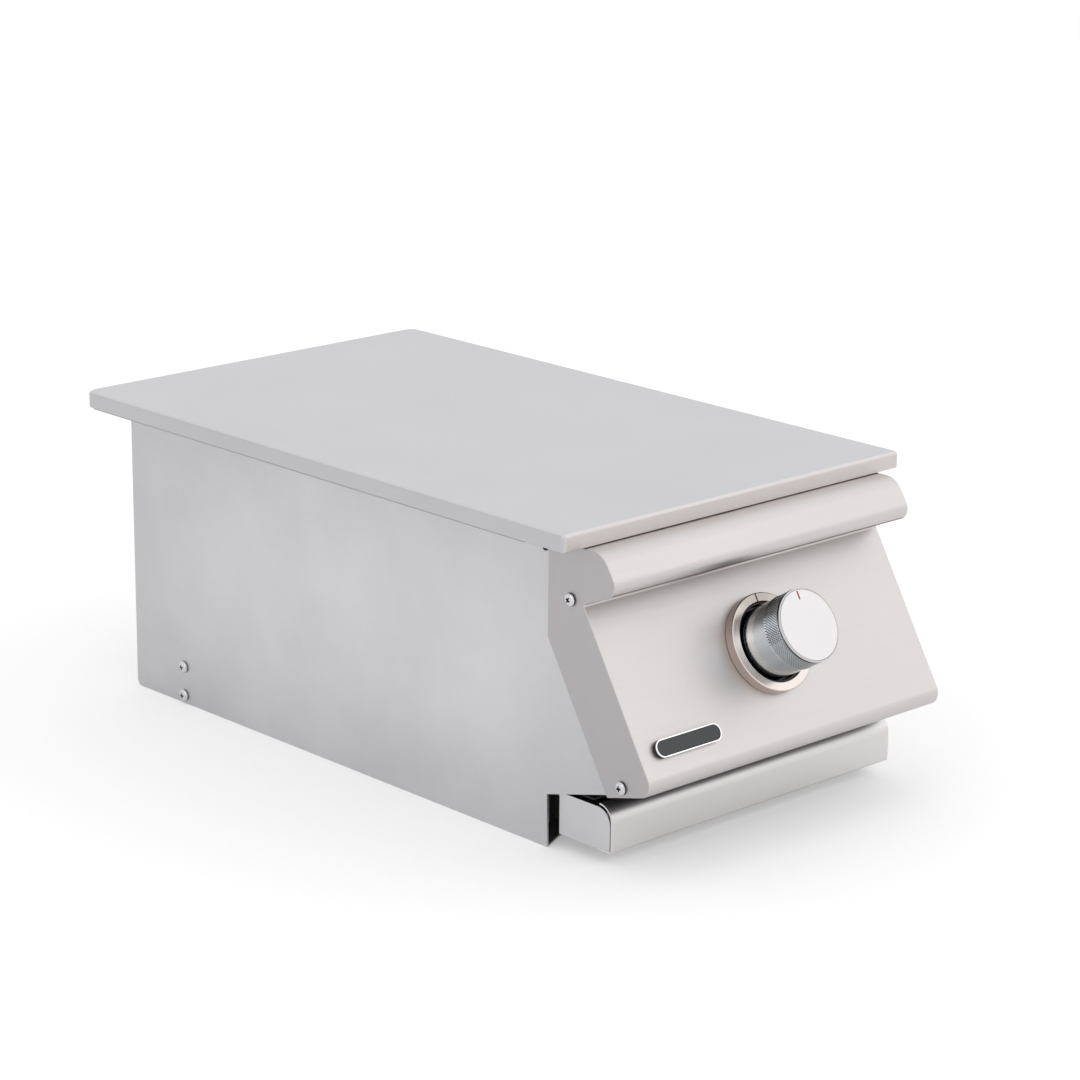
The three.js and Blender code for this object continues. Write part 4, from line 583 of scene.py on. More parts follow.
def make_finishes():
    """Every finish, by its slot's name or its own"""
    c = bpy.context.scene.side_burner_finish
    return {
        # AISI 304 sheet, satin brushed along its length: soft broad reflections
        "cover_steel": steel_sheet("satin_stainless_cover", c.cover, 0.46, "Y", cloud=0.02),
        # The cover's side skirts: the cover's steel made darker by painted shade
        "cover_side_painted_shade": steel_sheet("painted_shade_cover_side", c.cover_side_painted_shade, 0.44, "Y", cloud=0.03),
        # The cover's front skirt, brushed across as the fascia is, with a warmer tint of painted
        # reflection
        "cover_front_painted_reflection": steel_sheet("painted_reflection_cover_front", c.cover_front_painted_reflection, 0.46, "X", cloud=0.02),
        # The same sheet brushed across and bent: a little warmer by painted reflection
        "fascia_steel": steel_sheet("satin_stainless_fascia_painted_reflection", c.fascia, 0.46, "X", cloud=0.02),
        # The fold under the brow: the fascia's steel made dull and brownish by painted shade
        "brow_painted_shade": steel_sheet("painted_shade_under_brow", c.under, 0.5, "X", cloud=0.02),
        # Cold rolled mill finish: cloudy, barely directional, with painted light that makes its
        # middle lighter
        "wall_steel": steel_sheet(
            "mill_stainless_wall_painted_light", c.wall, 0.4, "Y", cloud=0.065, middle=WALL_PAINTED_LIGHT),
        # The same on the tray's side plates, with no patch of painted light
        "tray_side": steel_sheet("mill_stainless_tray_side", c.tray_side, 0.4, "Y"),
        # Bead blasted end plates: duller and even
        "cheek_steel": steel_sheet("blasted_stainless_cheek", c.cheek, 0.5, "Z", cloud=0.02),
        # Plain sheet inside the box, handled and faintly marked
        "inner_steel": steel_sheet("mill_stainless_inner", c.inner, 0.46, "X", cloud=0.08),
        # Drawn rod, polished after welding
        "rod_steel": steel_sheet("polished_stainless_rod", c.rod, 0.27, "X", cloud=0.04),
        # The tray's front, satin and cooler than the fascia
        "tray_steel": steel_sheet("satin_stainless_tray", c.tray, 0.42, "X", cloud=0.02),
        # Matt black standing in for shade: painted shade on the plates that face the tray, inside
        # the fascia and below its return
        "black_painted_shade": grainy("matt_black_painted_shade", c.black, 0.7, 1.2, 0.03),
        # Polished rim of the badge: nearly white
        "badge_rim": grainy("polished_badge_rim", c.badge_rim, 0.2, 2, 0.005, metallic=1.0),
        # The frame's screw, coloured dark
        "dark_screw": grainy("dark_frame_screw", c.black, 0.4, 1, 0.02),
        # Cold headed and polished screws: bright
        "screw_steel": grainy("bright_stainless_screw", c.screw, 0.2, 1.5, 0.01, metallic=1.0),
        # Their crosses and the rims of their heads: painted shade, dull and dark
        "screw_painted_shade": grainy("painted_shade_screw_recess", c.recess, 0.45, 1, 0.02, metallic=1.0),
        # The crosses and rims of the wall's screws: fainter painted shade, hardly darker than the
        # head
        "screw_faint_painted_shade": grainy("faint_painted_shade_screw_recess", c.cheek, 0.4, 1, 0.02, metallic=1.0),
        # Satin nickel plate: pinkish, with rings from turning and a painted reflection round the
        # ring
        "bezel_nickel": turned_metal(
            "satin_nickel_bezel_painted_reflection", c.nickel, 0.26, strength=0.08, painted_sweep=BEZEL_PAINTED_REFLECTION),
        # The ring's side: the same nickel made darker and browner by painted shade
        "bezel_side_painted_shade": turned_metal("painted_shade_bezel_side", c.nickel_side_shade, 0.34),
        # Turned and clear anodised aluminium, with painted reflections in bands round the turn and
        # painted shade in the knurl's hollows
        "knob_aluminium": turned_metal(
            "turned_aluminium_knob_painted_light", c.knob, 0.18, painted_sweep=KNOB_PAINTED_REFLECTION, painted_hollow_shade=True),
        # Fly cut aluminium of the knob's face: rings that give a faint radial sheen
        "knob_face": turned_metal("fly_cut_aluminium_face", c.face, 0.3),
        # Sand cast brass of the burner, machined only where it seats
        "burner_brass": grainy(
            "cast_brass_burner", c.brass, 0.42, 1.2, 0.12, metallic=1.0, spread=0.1),
        # Drawn copper tube, a little tarnished
        "tube_copper": grainy(
            "drawn_copper_tube", c.copper, 0.34, 3, 0.02, metallic=1.0, spread=0.14),
        # Glossy moulded phenolic
        "collar_plastic": grainy("moulded_phenolic_collar", c.collar, 0.22, 4, 0.02),
        # Black body under the badge's rim, dark on its sides
        "badge_body": grainy("dark_badge_body", c.collar, 0.4, 3, 0.02),
        # Baked enamel in the badge's recess, left bare
        "badge_enamel": grainy("baked_enamel_badge", c.badge, 0.38, 1.6, 0.02),
        # Filled enamel line
        "index_enamel": grainy("filled_enamel_index", c.index, 0.35, 1.0, 0.02),
        # Glazed alumina
        "ceramic_glaze": grainy("glazed_alumina", c.ceramic, 0.18, 2.5, 0.02, coat=0.4),
        # Silicone sleeve
        "lead_rubber": grainy("silicone_sleeve", c.lead, 0.55, 0.8, 0.03),
        # Pale silicone pads
        "pad_silicone": grainy("silicone_pad", c.pad, 0.6, 1.0, 0.04),
        # Closed cell foam strip
        "gasket_foam": grainy("closed_cell_foam", c.gasket, 0.85, 0.7, 0.2),
    }


FINISHES = {}


def finish(name):
    if not FINISHES:
        FINISHES.update(make_finishes())
    return FINISHES[name]


# The pieces

class SIDEBURNER_OT_cover(bpy.types.Operator):
    """Makes the cover, a pan with a rolled edge that is open below"""

    bl_idname = "side_burner.cover"
    bl_label = "Cover"

    def execute(self, context):
        shape = context.scene.side_burner_shape
        low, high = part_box("cover")
        obj = cuboid("cover_shell", low / MM, high / MM)
        edit(obj)
        pick(obj, "FACE", lambda face: face.normal.z < -0.9)
        bpy.ops.mesh.delete(type="ONLY_FACE")
        middle = (low.y + high.y) / 2
        for side, radius in ((-1, shape.front_corner), (1, shape.rear_corner)):
            pick(obj, "EDGE", lambda edge: abs(edge.verts[0].co.z - edge.verts[1].co.z) > MM
                 and side * (edge.verts[0].co.y - middle) > 0)
            bpy.ops.mesh.bevel(offset=radius, segments=7)
        pick(obj, "EDGE", lambda edge: min(v.co.z for v in edge.verts) > high.z - DOUBLES)
        bpy.ops.mesh.bevel(offset=shape.cover_edge, segments=6)
        thicken(obj, COVER_SHEET * MM)
        soften(obj, shape.cover_lip, segments=3, angle=60)
        smooth(obj)
        skirt_top = high.z - shape.cover_edge * 0.3
        facing = 0.7  # a face with more of its normal than this to one side is a skirt's
        # Painted light: the side skirts take painted shade and the front skirt a warmer painted
        # reflection
        for face in obj.data.polygons:
            if face.center.z < skirt_top and abs(face.normal.x) > facing:
                face.material_index = 1
            elif face.center.z < skirt_top and face.normal.y < -facing:
                face.material_index = 2
            else:
                face.material_index = 0
        looks = ("cover_steel", "cover_side_painted_shade", "cover_front_painted_reflection")
        finished(obj, looks, "cover", "cover_steel", "cover")
        return {"FINISHED"}


# The fascia's outer line seen from the side, in millimetres: Y, Z and the radius of the bend
FASCIA_LINE = (
    (-236.9, 224.1, 0), (-289.4, 224.1, 16), (-306.2, 198.7, 9),
    (-271.6, 184.3, 1.6), (-342.391, 65.547, 9.5), (-297.017, 53.389, 0),
)
CHEEK_KNEE = (-236.9, 153.8, 2)  # where the cheek's rear slope meets its upright rear edge
# Painted shade under the brow: it lies behind this Y and between these Z
BROW_SHADE_FRONT, BROW_SHADE_LOW, BROW_SHADE_HIGH = -304.5, 184.2, 196.5
RETURN_TOP = 60  # the bottom return lies below this Z
STEM_HOLE = 14  # radius of the hole for the valve's stem


class SIDEBURNER_OT_fascia(bpy.types.Operator):
    """Makes the fascia: one sheet bent over the brow, down the face and back below it"""

    bl_idname = "side_burner.fascia"
    bl_label = "Fascia"

    def execute(self, context):
        shape = context.scene.side_burner_shape
        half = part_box("fascia_panel")[1].x / MM - CHEEK_SHEET
        obj = bent_sheet("fascia_sheet", rounded(FASCIA_LINE), half, FASCIA_SHEET)
        clear_selection()
        bpy.ops.mesh.primitive_cylinder_add(vertices=48, radius=STEM_HOLE * MM, depth=20 * MM)
        cut(obj, placed(bpy.context.object, CONTROL))
        edit(obj)
        sharp = math.radians(60)
        pick(obj, "EDGE", lambda edge: edge.calc_face_angle(0) > sharp
             and abs(edge.verts[0].co.x - edge.verts[1].co.x) > half * MM)
        bpy.ops.mesh.bevel(offset=shape.sheet_burr, segments=2)
        smooth(obj)
        for face in obj.data.polygons:
            y, z, down = face.center.y / MM, face.center.z / MM, -face.normal.z
            in_brow_shade = y > BROW_SHADE_FRONT and BROW_SHADE_LOW < z < BROW_SHADE_HIGH and down > 0.5
            # The fold under the brow takes painted shade
            if in_brow_shade and face.material_index == 0:
                face.material_index = 2
            # The return's underside, like the sheet's inner side, takes the matt black of painted
            # shade
            elif z < RETURN_TOP and down > 0.8:
                face.material_index = 1
        looks = ("fascia_steel", "black_painted_shade", "brow_painted_shade")
        finished(obj, looks, "body", "fascia_steel", "fascia_panel")
        return {"FINISHED"}


class SIDEBURNER_OT_cheeks(bpy.types.Operator):
    """Makes the two cheeks, the end plates that close the fascia's sides"""

    bl_idname = "side_burner.cheeks"
    bl_label = "Cheeks"

    def execute(self, context):
        foot = (*FASCIA_LINE[-1][:2], 0.8)
        outline = rounded([*FASCIA_LINE[:-1], foot, CHEEK_KNEE], closed=True)
        for label, side in SIDES:
            low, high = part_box(f"cheek_{label}")
            inner = high.x if side < 0 else low.x
            points = [Vector((inner, y * MM, z * MM)) for y, z in outline]
            obj = plate(f"cheek_plate_{label}", points, Vector((side * CHEEK_SHEET * MM, 0, 0)))
            edge = side * inner + CHEEK_SHEET * MM
            edit(obj)
            pick(obj, "EDGE", lambda e: min(side * v.co.x for v in e.verts) > edge - DOUBLES)
            bpy.ops.mesh.bevel(offset=context.scene.side_burner_shape.cheek_edge, segments=3)
            smooth(obj)
            for face in obj.data.polygons:
                face.material_index = int(abs(face.normal.x) < 0.8)  # the rim
            finished(obj, ("cheek_steel", "fascia_steel"), "body", "wall_steel", f"cheek_{label}")
        return {"FINISHED"}


# The knob, in millimetres
SKIRT, GRIP, LIP, FACE_RADIUS = 26.5, 27.15, 26.95, 25.7  # radii, from the rear to the face
GROOVE = 0.9  # depth of the groove between the grip and the lip
WALL, LID = 2.6, 4.6  # thickness of the shell round the hub and of its front
HUB, STEM, STEM_DEPTH = 8, 4.3, 16
DISH = 2.1  # the face's disc lies this deep in the lip
LINE_LENGTH, LINE_WIDTH = 6, 1.2  # the red line
LINE_INSET = 0.9  # between its end and the face's edge


class SIDEBURNER_OT_knob(bpy.types.Operator):
    """Makes the knob: a turned body with a knurled grip, its face and its index line"""

    bl_idname = "side_burner.knob"
    bl_label = "Knob"

    def execute(self, context):
        self.body(context.scene.side_burner_shape)
        self.face()
        return {"FINISHED"}

    def body(self, shape):
        _, _, rear, front = reach("knob_body")
        grip_rear, grip_front = 30.5, front - 2.6
        last = shape.knurl_rows - 1
        pitch = (grip_front - grip_rear) / last
        rows = [(GRIP, grip_rear + pitch * row, 0) for row in range(last + 1)]
        corners = [
            (0, rear + STEM_DEPTH, 0), (STEM, rear + STEM_DEPTH, 0), (STEM, rear, 0),
            (HUB, rear, 0.4), (HUB, front - LID, 1), (SKIRT - WALL, front - LID, 1),
            (SKIRT - WALL, rear, 0.4), (SKIRT, rear, 0.6),
            (SKIRT, grip_rear - 1.2, 0.2), (GRIP, grip_rear - 0.7, 0.1), *rows,
            (GRIP, grip_front + 0.2, 0), (LIP - GROOVE, grip_front + 0.3, 0.1),
            (LIP - GROOVE, grip_front + 0.8, 0.1), (LIP, grip_front + 0.9, 0.2),
            (LIP, front - 0.7, 0.4), (FACE_RADIUS + 0.2, front, 0.2),
            (FACE_RADIUS, front - DISH, 0), (0, front - DISH, 0),
        ]
        obj = spun("knob_turned", corners, steps=shape.knurl_columns, closed=False)
        step = FULL_TURN / shape.knurl_columns

        def row_of(spot):
            return round((spot.z / MM - grip_rear) / pitch)

        def on_grip(spot):
            return spot.xy.length > (GRIP - 0.6) * MM and 0 <= row_of(spot) <= last

        def hollow(vertex):
            row = row_of(vertex.co)
            column = round(math.atan2(vertex.co.y, vertex.co.x) / step)
            return on_grip(vertex.co) and 0 < row < last and (column + row) % 2

        edit(obj)
        pick(obj, "FACE", lambda face: all(on_grip(vertex.co) for vertex in face.verts))
        grip = {face.index for face in bmesh.from_edit_mesh(obj.data).faces if face.select}
        pick(obj, "VERT", hollow)
        bpy.ops.transform.shrink_fatten(value=-shape.knurl_depth)
        pick(obj, "FACE", lambda face: face.index in grip)
        bpy.ops.mesh.quads_convert_to_tris(quad_method="SHORTEST_DIAGONAL")
        smooth(obj, 30)
        self.hollow_shade(obj, on_grip, grip_front)
        for face in obj.data.polygons:
            rim = face.center.z > (front - 0.9) * MM and face.center.xy.length > FACE_RADIUS * MM
            face.material_index = int(rim)
        looks = ("knob_aluminium", "knob_face")
        finished(placed(obj, CONTROL), looks, "knob", "knob_aluminium", "knob_body")

    def hollow_shade(self, obj, on_grip, grip_front):
        """Marks where painted shade falls: zero in the knurl's hollows and the groove, one
        elsewhere
        """
        painted_hollow_shade = obj.data.attributes.new(HOLLOW_SHADE, "FLOAT", "POINT").data
        for vertex, value in zip(obj.data.vertices, painted_hollow_shade):
            groove = grip_front < vertex.co.z / MM < grip_front + 0.85
            deep = vertex.co.xy.length < (GRIP - 0.2) * MM
            value.value = 0 if deep and (groove or on_grip(vertex.co)) else 1

    def face(self):
        _, _, rear, front = reach("knob_cap")
        front -= 0.1
        disc = spun("knob_face", [
            (0, rear, 0), (FACE_RADIUS, rear, 0.1), (FACE_RADIUS, front, 0.3), (0, front, 0),
        ], closed=False)
        half, top, room = LINE_WIDTH / 2, FACE_RADIUS - LINE_INSET, 0.1
        low, high = Vector((-half, top - LINE_LENGTH, front)), Vector((half, top, front))
        cut(disc, cuboid("groove", low - Vector((room, room, 0.6)),
                         high + Vector((room, room, 1))))
        smooth(disc, 25)
        finished(placed(disc, CONTROL), "knob_face", "knob", "knob_aluminium", "knob_cap")
        mark = cuboid("index_line", low - Vector((0, 0, 0.5)), high + Vector((0, 0, 0.02)))
        soften(mark, 0.12 * MM)
        finished(placed(mark, CONTROL), "index_enamel", "knob", "index_enamel", "knob_index_mark")


class SIDEBURNER_OT_bezel(bpy.types.Operator):
    """Makes the bezel ring with its tick line, and the collar inside it"""

    bl_idname = "side_burner.bezel"
    bl_label = "Bezel"

    def execute(self, context):
        bore, radius, foot, height = reach("knob_bezel")
        ring = spun("bezel_ring", [
            (bore, foot, 0.1), (radius, foot, 0.2), (radius, height, 1.1), (bore, height, 0.7),
        ], steps=160)
        half, depth = 0.65, 1.3  # of the tick line, which starts a little outside the bore
        cut(ring, cuboid("tick", (-half, bore + 0.4, height - depth),
                         (half, radius + 2, height + 1)))
        smooth(ring, 30)
        # Painted shade: the ring's outer side takes the darker finish
        for face in ring.data.polygons:
            outer = face.center.xy.length > (radius - 0.6) * MM
            face.material_index = int(outer and abs(face.normal.z) < 0.5)
        looks = ("bezel_nickel", "bezel_side_painted_shade")
        finished(placed(ring, CONTROL), looks, "body", "bezel_nickel", "knob_bezel")
        hole, outer, foot, lip = reach("bezel_collar")
        wall = 1.2
        collar = spun("collar_moulding", [
            (hole, foot, 0), (outer, foot, 0.2), (outer, lip, 0.4), (outer - wall, lip, 0.4),
            (outer - wall, foot + wall, 1), (hole, foot + wall, 0.3),
        ])
        smooth(collar)
        placed(collar, CONTROL)
        finished(collar, "collar_plastic", "body", "collar_plastic", "bezel_collar")
        return {"FINISHED"}


def stadium(length, height, middle, level, steps=16):
    """An outline with round ends, level in the control frame, in millimetres"""
    radius = height / 2
    points = []
    for end in (1, -1):
        centre = middle.x + end * (length / 2 - radius)
        for step in range(steps + 1):
            angle = math.pi * step / steps - end * RIGHT_ANGLE
            across, up = radius * math.cos(angle), radius * math.sin(angle)
            points.append(Vector((centre + across, middle.y + up, level)) * MM)
    return points


class SIDEBURNER_OT_badge(bpy.types.Operator):
    """Makes the badge's plate with its raised rim, and the blank field in it"""

    bl_idname = "side_burner.badge"
    bl_label = "Badge"

    def execute(self, context):
        spots = spots_of("badge_plate")
        low, high = (
            Vector([limit(spot[axis] for spot in spots) for axis in range(3)])
            for limit in (min, max))
        size, middle = high - low, (low + high) / 2
        rim, recess = 1.1, 0.9  # the rim's width, and how deep the field lies in it

        def layer(name, margin, foot, depth):
            outline = stadium(size.x - 2 * margin, size.y - 2 * margin, middle, foot)
            return plate(name, outline, Vector((0, 0, depth)) * MM)

        body = smooth(soften(layer("badge_body", 0, low.z, size.z - recess), 0.3 * MM))
        finished(placed(body, CONTROL), "badge_body", "body", "collar_plastic")
        ring = layer("badge_rim", 0, high.z - recess, recess)
        cut(ring, layer("hollow", rim, low.z, 2 * size.z))
        smooth(soften(ring, 0.25 * MM, segments=3))
        finished(placed(ring, CONTROL), "badge_rim", "body", "screw_steel", "badge_plate")
        field = layer("badge_enamel", rim + 0.4, high.z - recess + 0.1, 0.5)
        smooth(soften(field, 0.15 * MM))
        finished(placed(field, CONTROL), "badge_enamel", "body", "badge_enamel", "badge_field")
        return {"FINISHED"}


# Screws in millimetres: radius and height of the head, and radius of the shank
LARGE_SCREW = (4.75, 2.8, 2.5)
SMALL_SCREW = (2.4, 1.4, 1.5)
# What each side has of them: place, size and finishes
SIDE_SCREWS = (
    ("cheek_screw_upper", LARGE_SCREW, ("screw_steel", "screw_painted_shade")),
    ("cheek_screw_lower", LARGE_SCREW, ("screw_steel", "screw_painted_shade")),
    ("wall_screw_upper", LARGE_SCREW, ("screw_steel", "screw_faint_painted_shade")),
    ("wall_screw_lower", LARGE_SCREW, ("screw_steel", "screw_faint_painted_shade")),
    ("frame_screw", SMALL_SCREW, ("dark_screw", "screw_painted_shade")),
)


class SIDEBURNER_OT_screws(bpy.types.Operator):
    """Makes one pan head screw with a cross recess, and copies it to every screw's place"""

    bl_idname = "side_burner.screws"
    bl_label = "Screws"

    def execute(self, context):
        depth = context.scene.side_burner_shape.recess_depth / MM
        models = {
            LARGE_SCREW: self.screw("pan_head", *LARGE_SCREW, depth),
            SMALL_SCREW: self.screw("small_head", *SMALL_SCREW, depth / 2),
        }
        for label, side in SIDES:
            out = Matrix.Rotation(side * RIGHT_ANGLE, 4, "Y")
            for place, size, looks in SIDE_SCREWS:
                low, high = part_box(f"{place}_{label}")
                spot = (low + high) / 2
                spot.x = (high.x if side > 0 else low.x) - side * size[1] * MM
                # No two crosses stand alike
                spin = Matrix.Rotation(0.4 + 7 * spot.y + 5 * spot.z, 4, "Z")
                self.put(models[size], f"{place}_{label}", spot, out @ spin, looks)
            low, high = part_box(f"burner_screw_{label}")
            spot = (low + high) / 2
            spot.z = low.z + LARGE_SCREW[1] * MM
            down = Matrix.Rotation(math.pi, 4, "X")
            looks = ("screw_steel", "screw_painted_shade")
            self.put(models[LARGE_SCREW], f"burner_screw_{label}", spot, down, looks)
        for model in models.values():
            bpy.data.objects.remove(model)
        return {"FINISHED"}

    def screw(self, name, radius, height, shank, recess):
        """A pan head screw along Z, its head's seat at zero"""
        edge = height * 0.3  # the head's upright edge, below its dome
        corners = [
            (0, -3, 0), (shank, -3, 0), (shank, 0, 0), (radius, 0, 0.15), (radius, edge, 0)]
        for step in range(1, 8):
            angle = RIGHT_ANGLE * step / 8
            rise = (height - edge) * math.sin(angle)
            corners.append((radius * math.cos(angle), edge + rise, 0))
        corners.append((0, height, 0))
        obj = spun(name, corners, steps=48, closed=False)
        arm, half, foot = radius * 0.44, radius * 0.14, height - recess
        for across, along in ((arm, half), (half, arm)):
            cut(obj, cuboid("recess", (-across, -along, foot), (across, along, height + 1)))
        smooth(obj)
        # Painted shade: the rim of the head and the walls and floor of the cross are darker
        for face in obj.data.polygons:
            rim = face.center.z < edge * MM
            wall = abs(face.normal.z) < 0.3 or abs(face.center.z / MM - foot) < 0.01
            inside = wall and face.center.xy.length < radius * 0.75 * MM
            face.material_index = int(rim or inside)
        return obj

    def put(self, model, node, spot, turn, looks):
        """Stands a copy of a screw in a node's place"""
        obj = placed(copied(model, f"{node}_head"), Matrix.Translation(spot) @ turn)
        finished(obj, looks, "body", "screw_steel", node)


# The drip tray's front in millimetres. The sheet bends back below and rolls back above.
TRAY_FOOT, TRAY_LIP = 13, 12.5  # how far the sheet reaches back
TRAY_BEND, TRAY_ROLL = 2, 12  # radii
WING_GAP, WING_INSET, WING_DROP = 1.4, 0.7, 3.3  # the side plates' room to front, ends and lip


class SIDEBURNER_OT_tray(bpy.types.Operator):
    """Makes the drip tray's front: a sheet whose lip rolls back over two side plates"""

    bl_idname = "side_burner.tray"
    bl_label = "Drip tray"

    def execute(self, context):
        shape = context.scene.side_burner_shape
        low, high = (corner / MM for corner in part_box("drip_tray_front"))
        line = rounded([
            (low.y + TRAY_FOOT, low.z, 0), (low.y, low.z, TRAY_BEND),
            (low.y, high.z, TRAY_ROLL), (low.y + TRAY_LIP, high.z, 0),
        ], steps=12)
        sheet = bent_sheet("tray_front", line, high.x, TRAY_SHEET)
        parts = [soften(sheet, shape.sheet_burr)]
        front, top = low.y + TRAY_SHEET + WING_GAP, high.z - WING_DROP
        wing_line = rounded([
            (front, low.z, 0), (high.y, low.z, 1), (high.y, top, 2), (front, top, TRAY_ROLL),
        ], closed=True, steps=10)
        for _, side in SIDES:
            points = [Vector((side * (high.x - WING_INSET), y, z)) * MM for y, z in wing_line]
            wing = plate("wing", points, Vector((-side * TRAY_SHEET * MM, 0, 0)))
            parts.append(soften(wing, shape.sheet_burr))
        tray = smooth(together("tray_front_bent", parts))
        ends = (high.x - WING_INSET / 2) * MM
        for face in tray.data.polygons:
            if abs(face.normal.x) > 0.8 and abs(face.center.x) < ends:
                face.material_index = 2
        looks = ("tray_steel", "inner_steel", "tray_side")
        finished(tray, looks, "tray", "fascia_steel", "drip_tray_front")
        return {"FINISHED"}


# The grate in millimetres
BAR_WIDTH, BAR_HEIGHT = 5, 14
RAIL = 56  # the two inner bars' distance from the middle
ROD_RADIUS, ROD_PITCH, ROD_COUNT = 3.5, 38, 11
BEAD_STRETCH = (1.5, 0.7, 0.55)  # along the seam, across it and up


class SIDEBURNER_OT_grate(bpy.types.Operator):
    """Makes the grate: a bar frame with two rails, and round rods welded across them"""

    bl_idname = "side_burner.grate"
    bl_label = "Grate"

    def execute(self, context):
        bead = context.scene.side_burner_shape.weld_bead
        low, high = (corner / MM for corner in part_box("grate"))
        top, middle, half = low.z + BAR_HEIGHT, (low.y + high.y) / 2, BAR_WIDTH / 2
        lengths = (low.x + half, high.x - half, -RAIL, RAIL)
        bars = [
            (low.x, high.x, low.y, low.y + BAR_WIDTH), (low.x, high.x, high.y - BAR_WIDTH, high.y),
            *((x - half, x + half, low.y + BAR_WIDTH, high.y - BAR_WIDTH) for x in lengths),
        ]
        parts = [
            soften(cuboid("bar", (left, front, low.z), (right, back, top)), 0.6 * MM)
            for left, right, front, back in bars]
        end = high.x
        rod = spun("rod", [
            (0, -end, 0), (ROD_RADIUS, -end, 0.8), (ROD_RADIUS, end, 0.8), (0, end, 0),
        ], steps=28, closed=False, arc_steps=3)
        rod = placed(rod, Matrix.Rotation(RIGHT_ANGLE, 4, "Y"))
        clear_selection()
        bpy.ops.mesh.primitive_ico_sphere_add(subdivisions=2, radius=bead)
        drop = placed(bpy.context.object, Matrix.Diagonal((*BEAD_STRETCH, 1)))
        for index in range(ROD_COUNT):
            y = middle + (index - (ROD_COUNT - 1) / 2) * ROD_PITCH
            spot = Vector((0, y, high.z - ROD_RADIUS)) * MM
            parts.append(placed(copied(rod, "rod"), Matrix.Translation(spot)))
            for x in sorted(lengths):
                for side in (-1, 1):
                    seam = Vector((x, y + side * ROD_RADIUS * 0.75, top)) * MM
                    parts.append(placed(copied(drop, "bead"), Matrix.Translation(seam)))
        for model in (rod, drop):
            bpy.data.objects.remove(model)
        grate = smooth(together("grate_welded", parts))
        finished(grate, "rod_steel", "grate", "rod_steel", "grate")
        return {"FINISHED"}


# Nodes whose own shape is right and only wants softer edges: node, body, slot, width of the edge
# in millimetres and the greatest angle that is smoothed
SOFTENED = (
    ("burner_casting", "body", "burner_brass", 0.8, 40),
    ("burner_cap", "burner_top", "burner_brass", 0.5, 40),
    ("valve_body", "body", "burner_brass", 0.5, 40),
    ("valve_plug", "plug", "burner_brass", 0.2, 40),
    ("gas_orifice", "body", "burner_brass", 0.3, 40),
    ("gas_inlet", "body", "burner_brass", 0.5, 40),
    ("manifold_plug", "body", "burner_brass", 0.4, 40),
    ("valve_bonnet", "body", "inner_steel", 0.4, 40),
    ("valve_stem", "knob", "inner_steel", 0.2, 40),
    ("air_shutter", "shutter", "inner_steel", 0.3, 40),
    ("manifold_pipe", "body", "inner_steel", 0.2, 50),
    ("gas_tube", "body", "tube_copper", 0.15, 50),
    ("ignition_lead", "body", "lead_rubber", 0.1, 50),
    ("electrode_ceramic", "body", "ceramic_glaze", 0.4, 50),
    ("electrode_pin", "body", "screw_steel", 0.1, 50),
    *((f"cover_pad_{end}_{label}", "body", "pad_silicone", 0.5, 50)
      for end in ("front", "rear") for label, _ in SIDES),
    ("drip_tray_pan", "tray", "inner_steel", 0.3, 50),
)


class SIDEBURNER_OT_fittings(bpy.types.Operator):
    """Makes the cast, turned and drawn fittings inside the box, with softened edges"""

    bl_idname = "side_burner.fittings"
    bl_label = "Fittings"

    def execute(self, context):
        for node, body, slot, width, angle in SOFTENED:
            obj = soften(merged_copy(node, f"{node}_soft"), width * MM, angle=50)
            finished(smooth(obj, angle), slot, body, slot, node)
        return {"FINISHED"}


# Nodes that stay as they are, and the finish that each gets
KEPT = {
    "wall_steel": ("side_wall_left", "side_wall_right", "back_wall"),
    # Matt black of painted shade on the plates that face the tray
    "black_painted_shade": ("front_baffle", "tray_rail_left", "tray_rail_right"),
    "inner_steel": (
        "floor_pan", "top_frame", "burner_support", "manifold_bracket", "electrode_bracket"),
    "gasket_foam": ("counter_gasket",),
}


class SIDEBURNER_OT_sheets(bpy.types.Operator):
    """Gives the plain sheets of the box their finishes"""

    bl_idname = "side_burner.sheets"
    bl_label = "Sheets"

    def execute(self, context):
        for name, nodes in KEPT.items():
            for node in nodes:
                obj = frame["nodes"][node]
                obj.data.materials.clear()
                obj.data.materials.append(finish(name))
        return {"FINISHED"}


FLOOR_COLOUR, FLOOR_SEEN, FLOOR_MIRRORED = 0.8, 0.3, 0.17  # the last two are its own glow
SKY = 0.88
# Area lamps: name, place in metres, size in metres and power in watts
LAMPS = (
    ("key", (1.8, -2.5, 1.77), 2.2, 7.5),
    ("crest", (2.4, -0.6, 2.4), 2.4, 5),
    ("fill", (-2.2, -0.6, 1.5), 1.8, 4),
)
# The photograph's camera, fitted to its straight edges: degrees, metres and millimetres
AZIMUTH, ELEVATION, ROLL = -43.1136, 16.249, 0.4609
CAMERA_SPOT = (-1.67329, -1.85867, 0.87133)
LENS, SENSOR = 114.4, 36


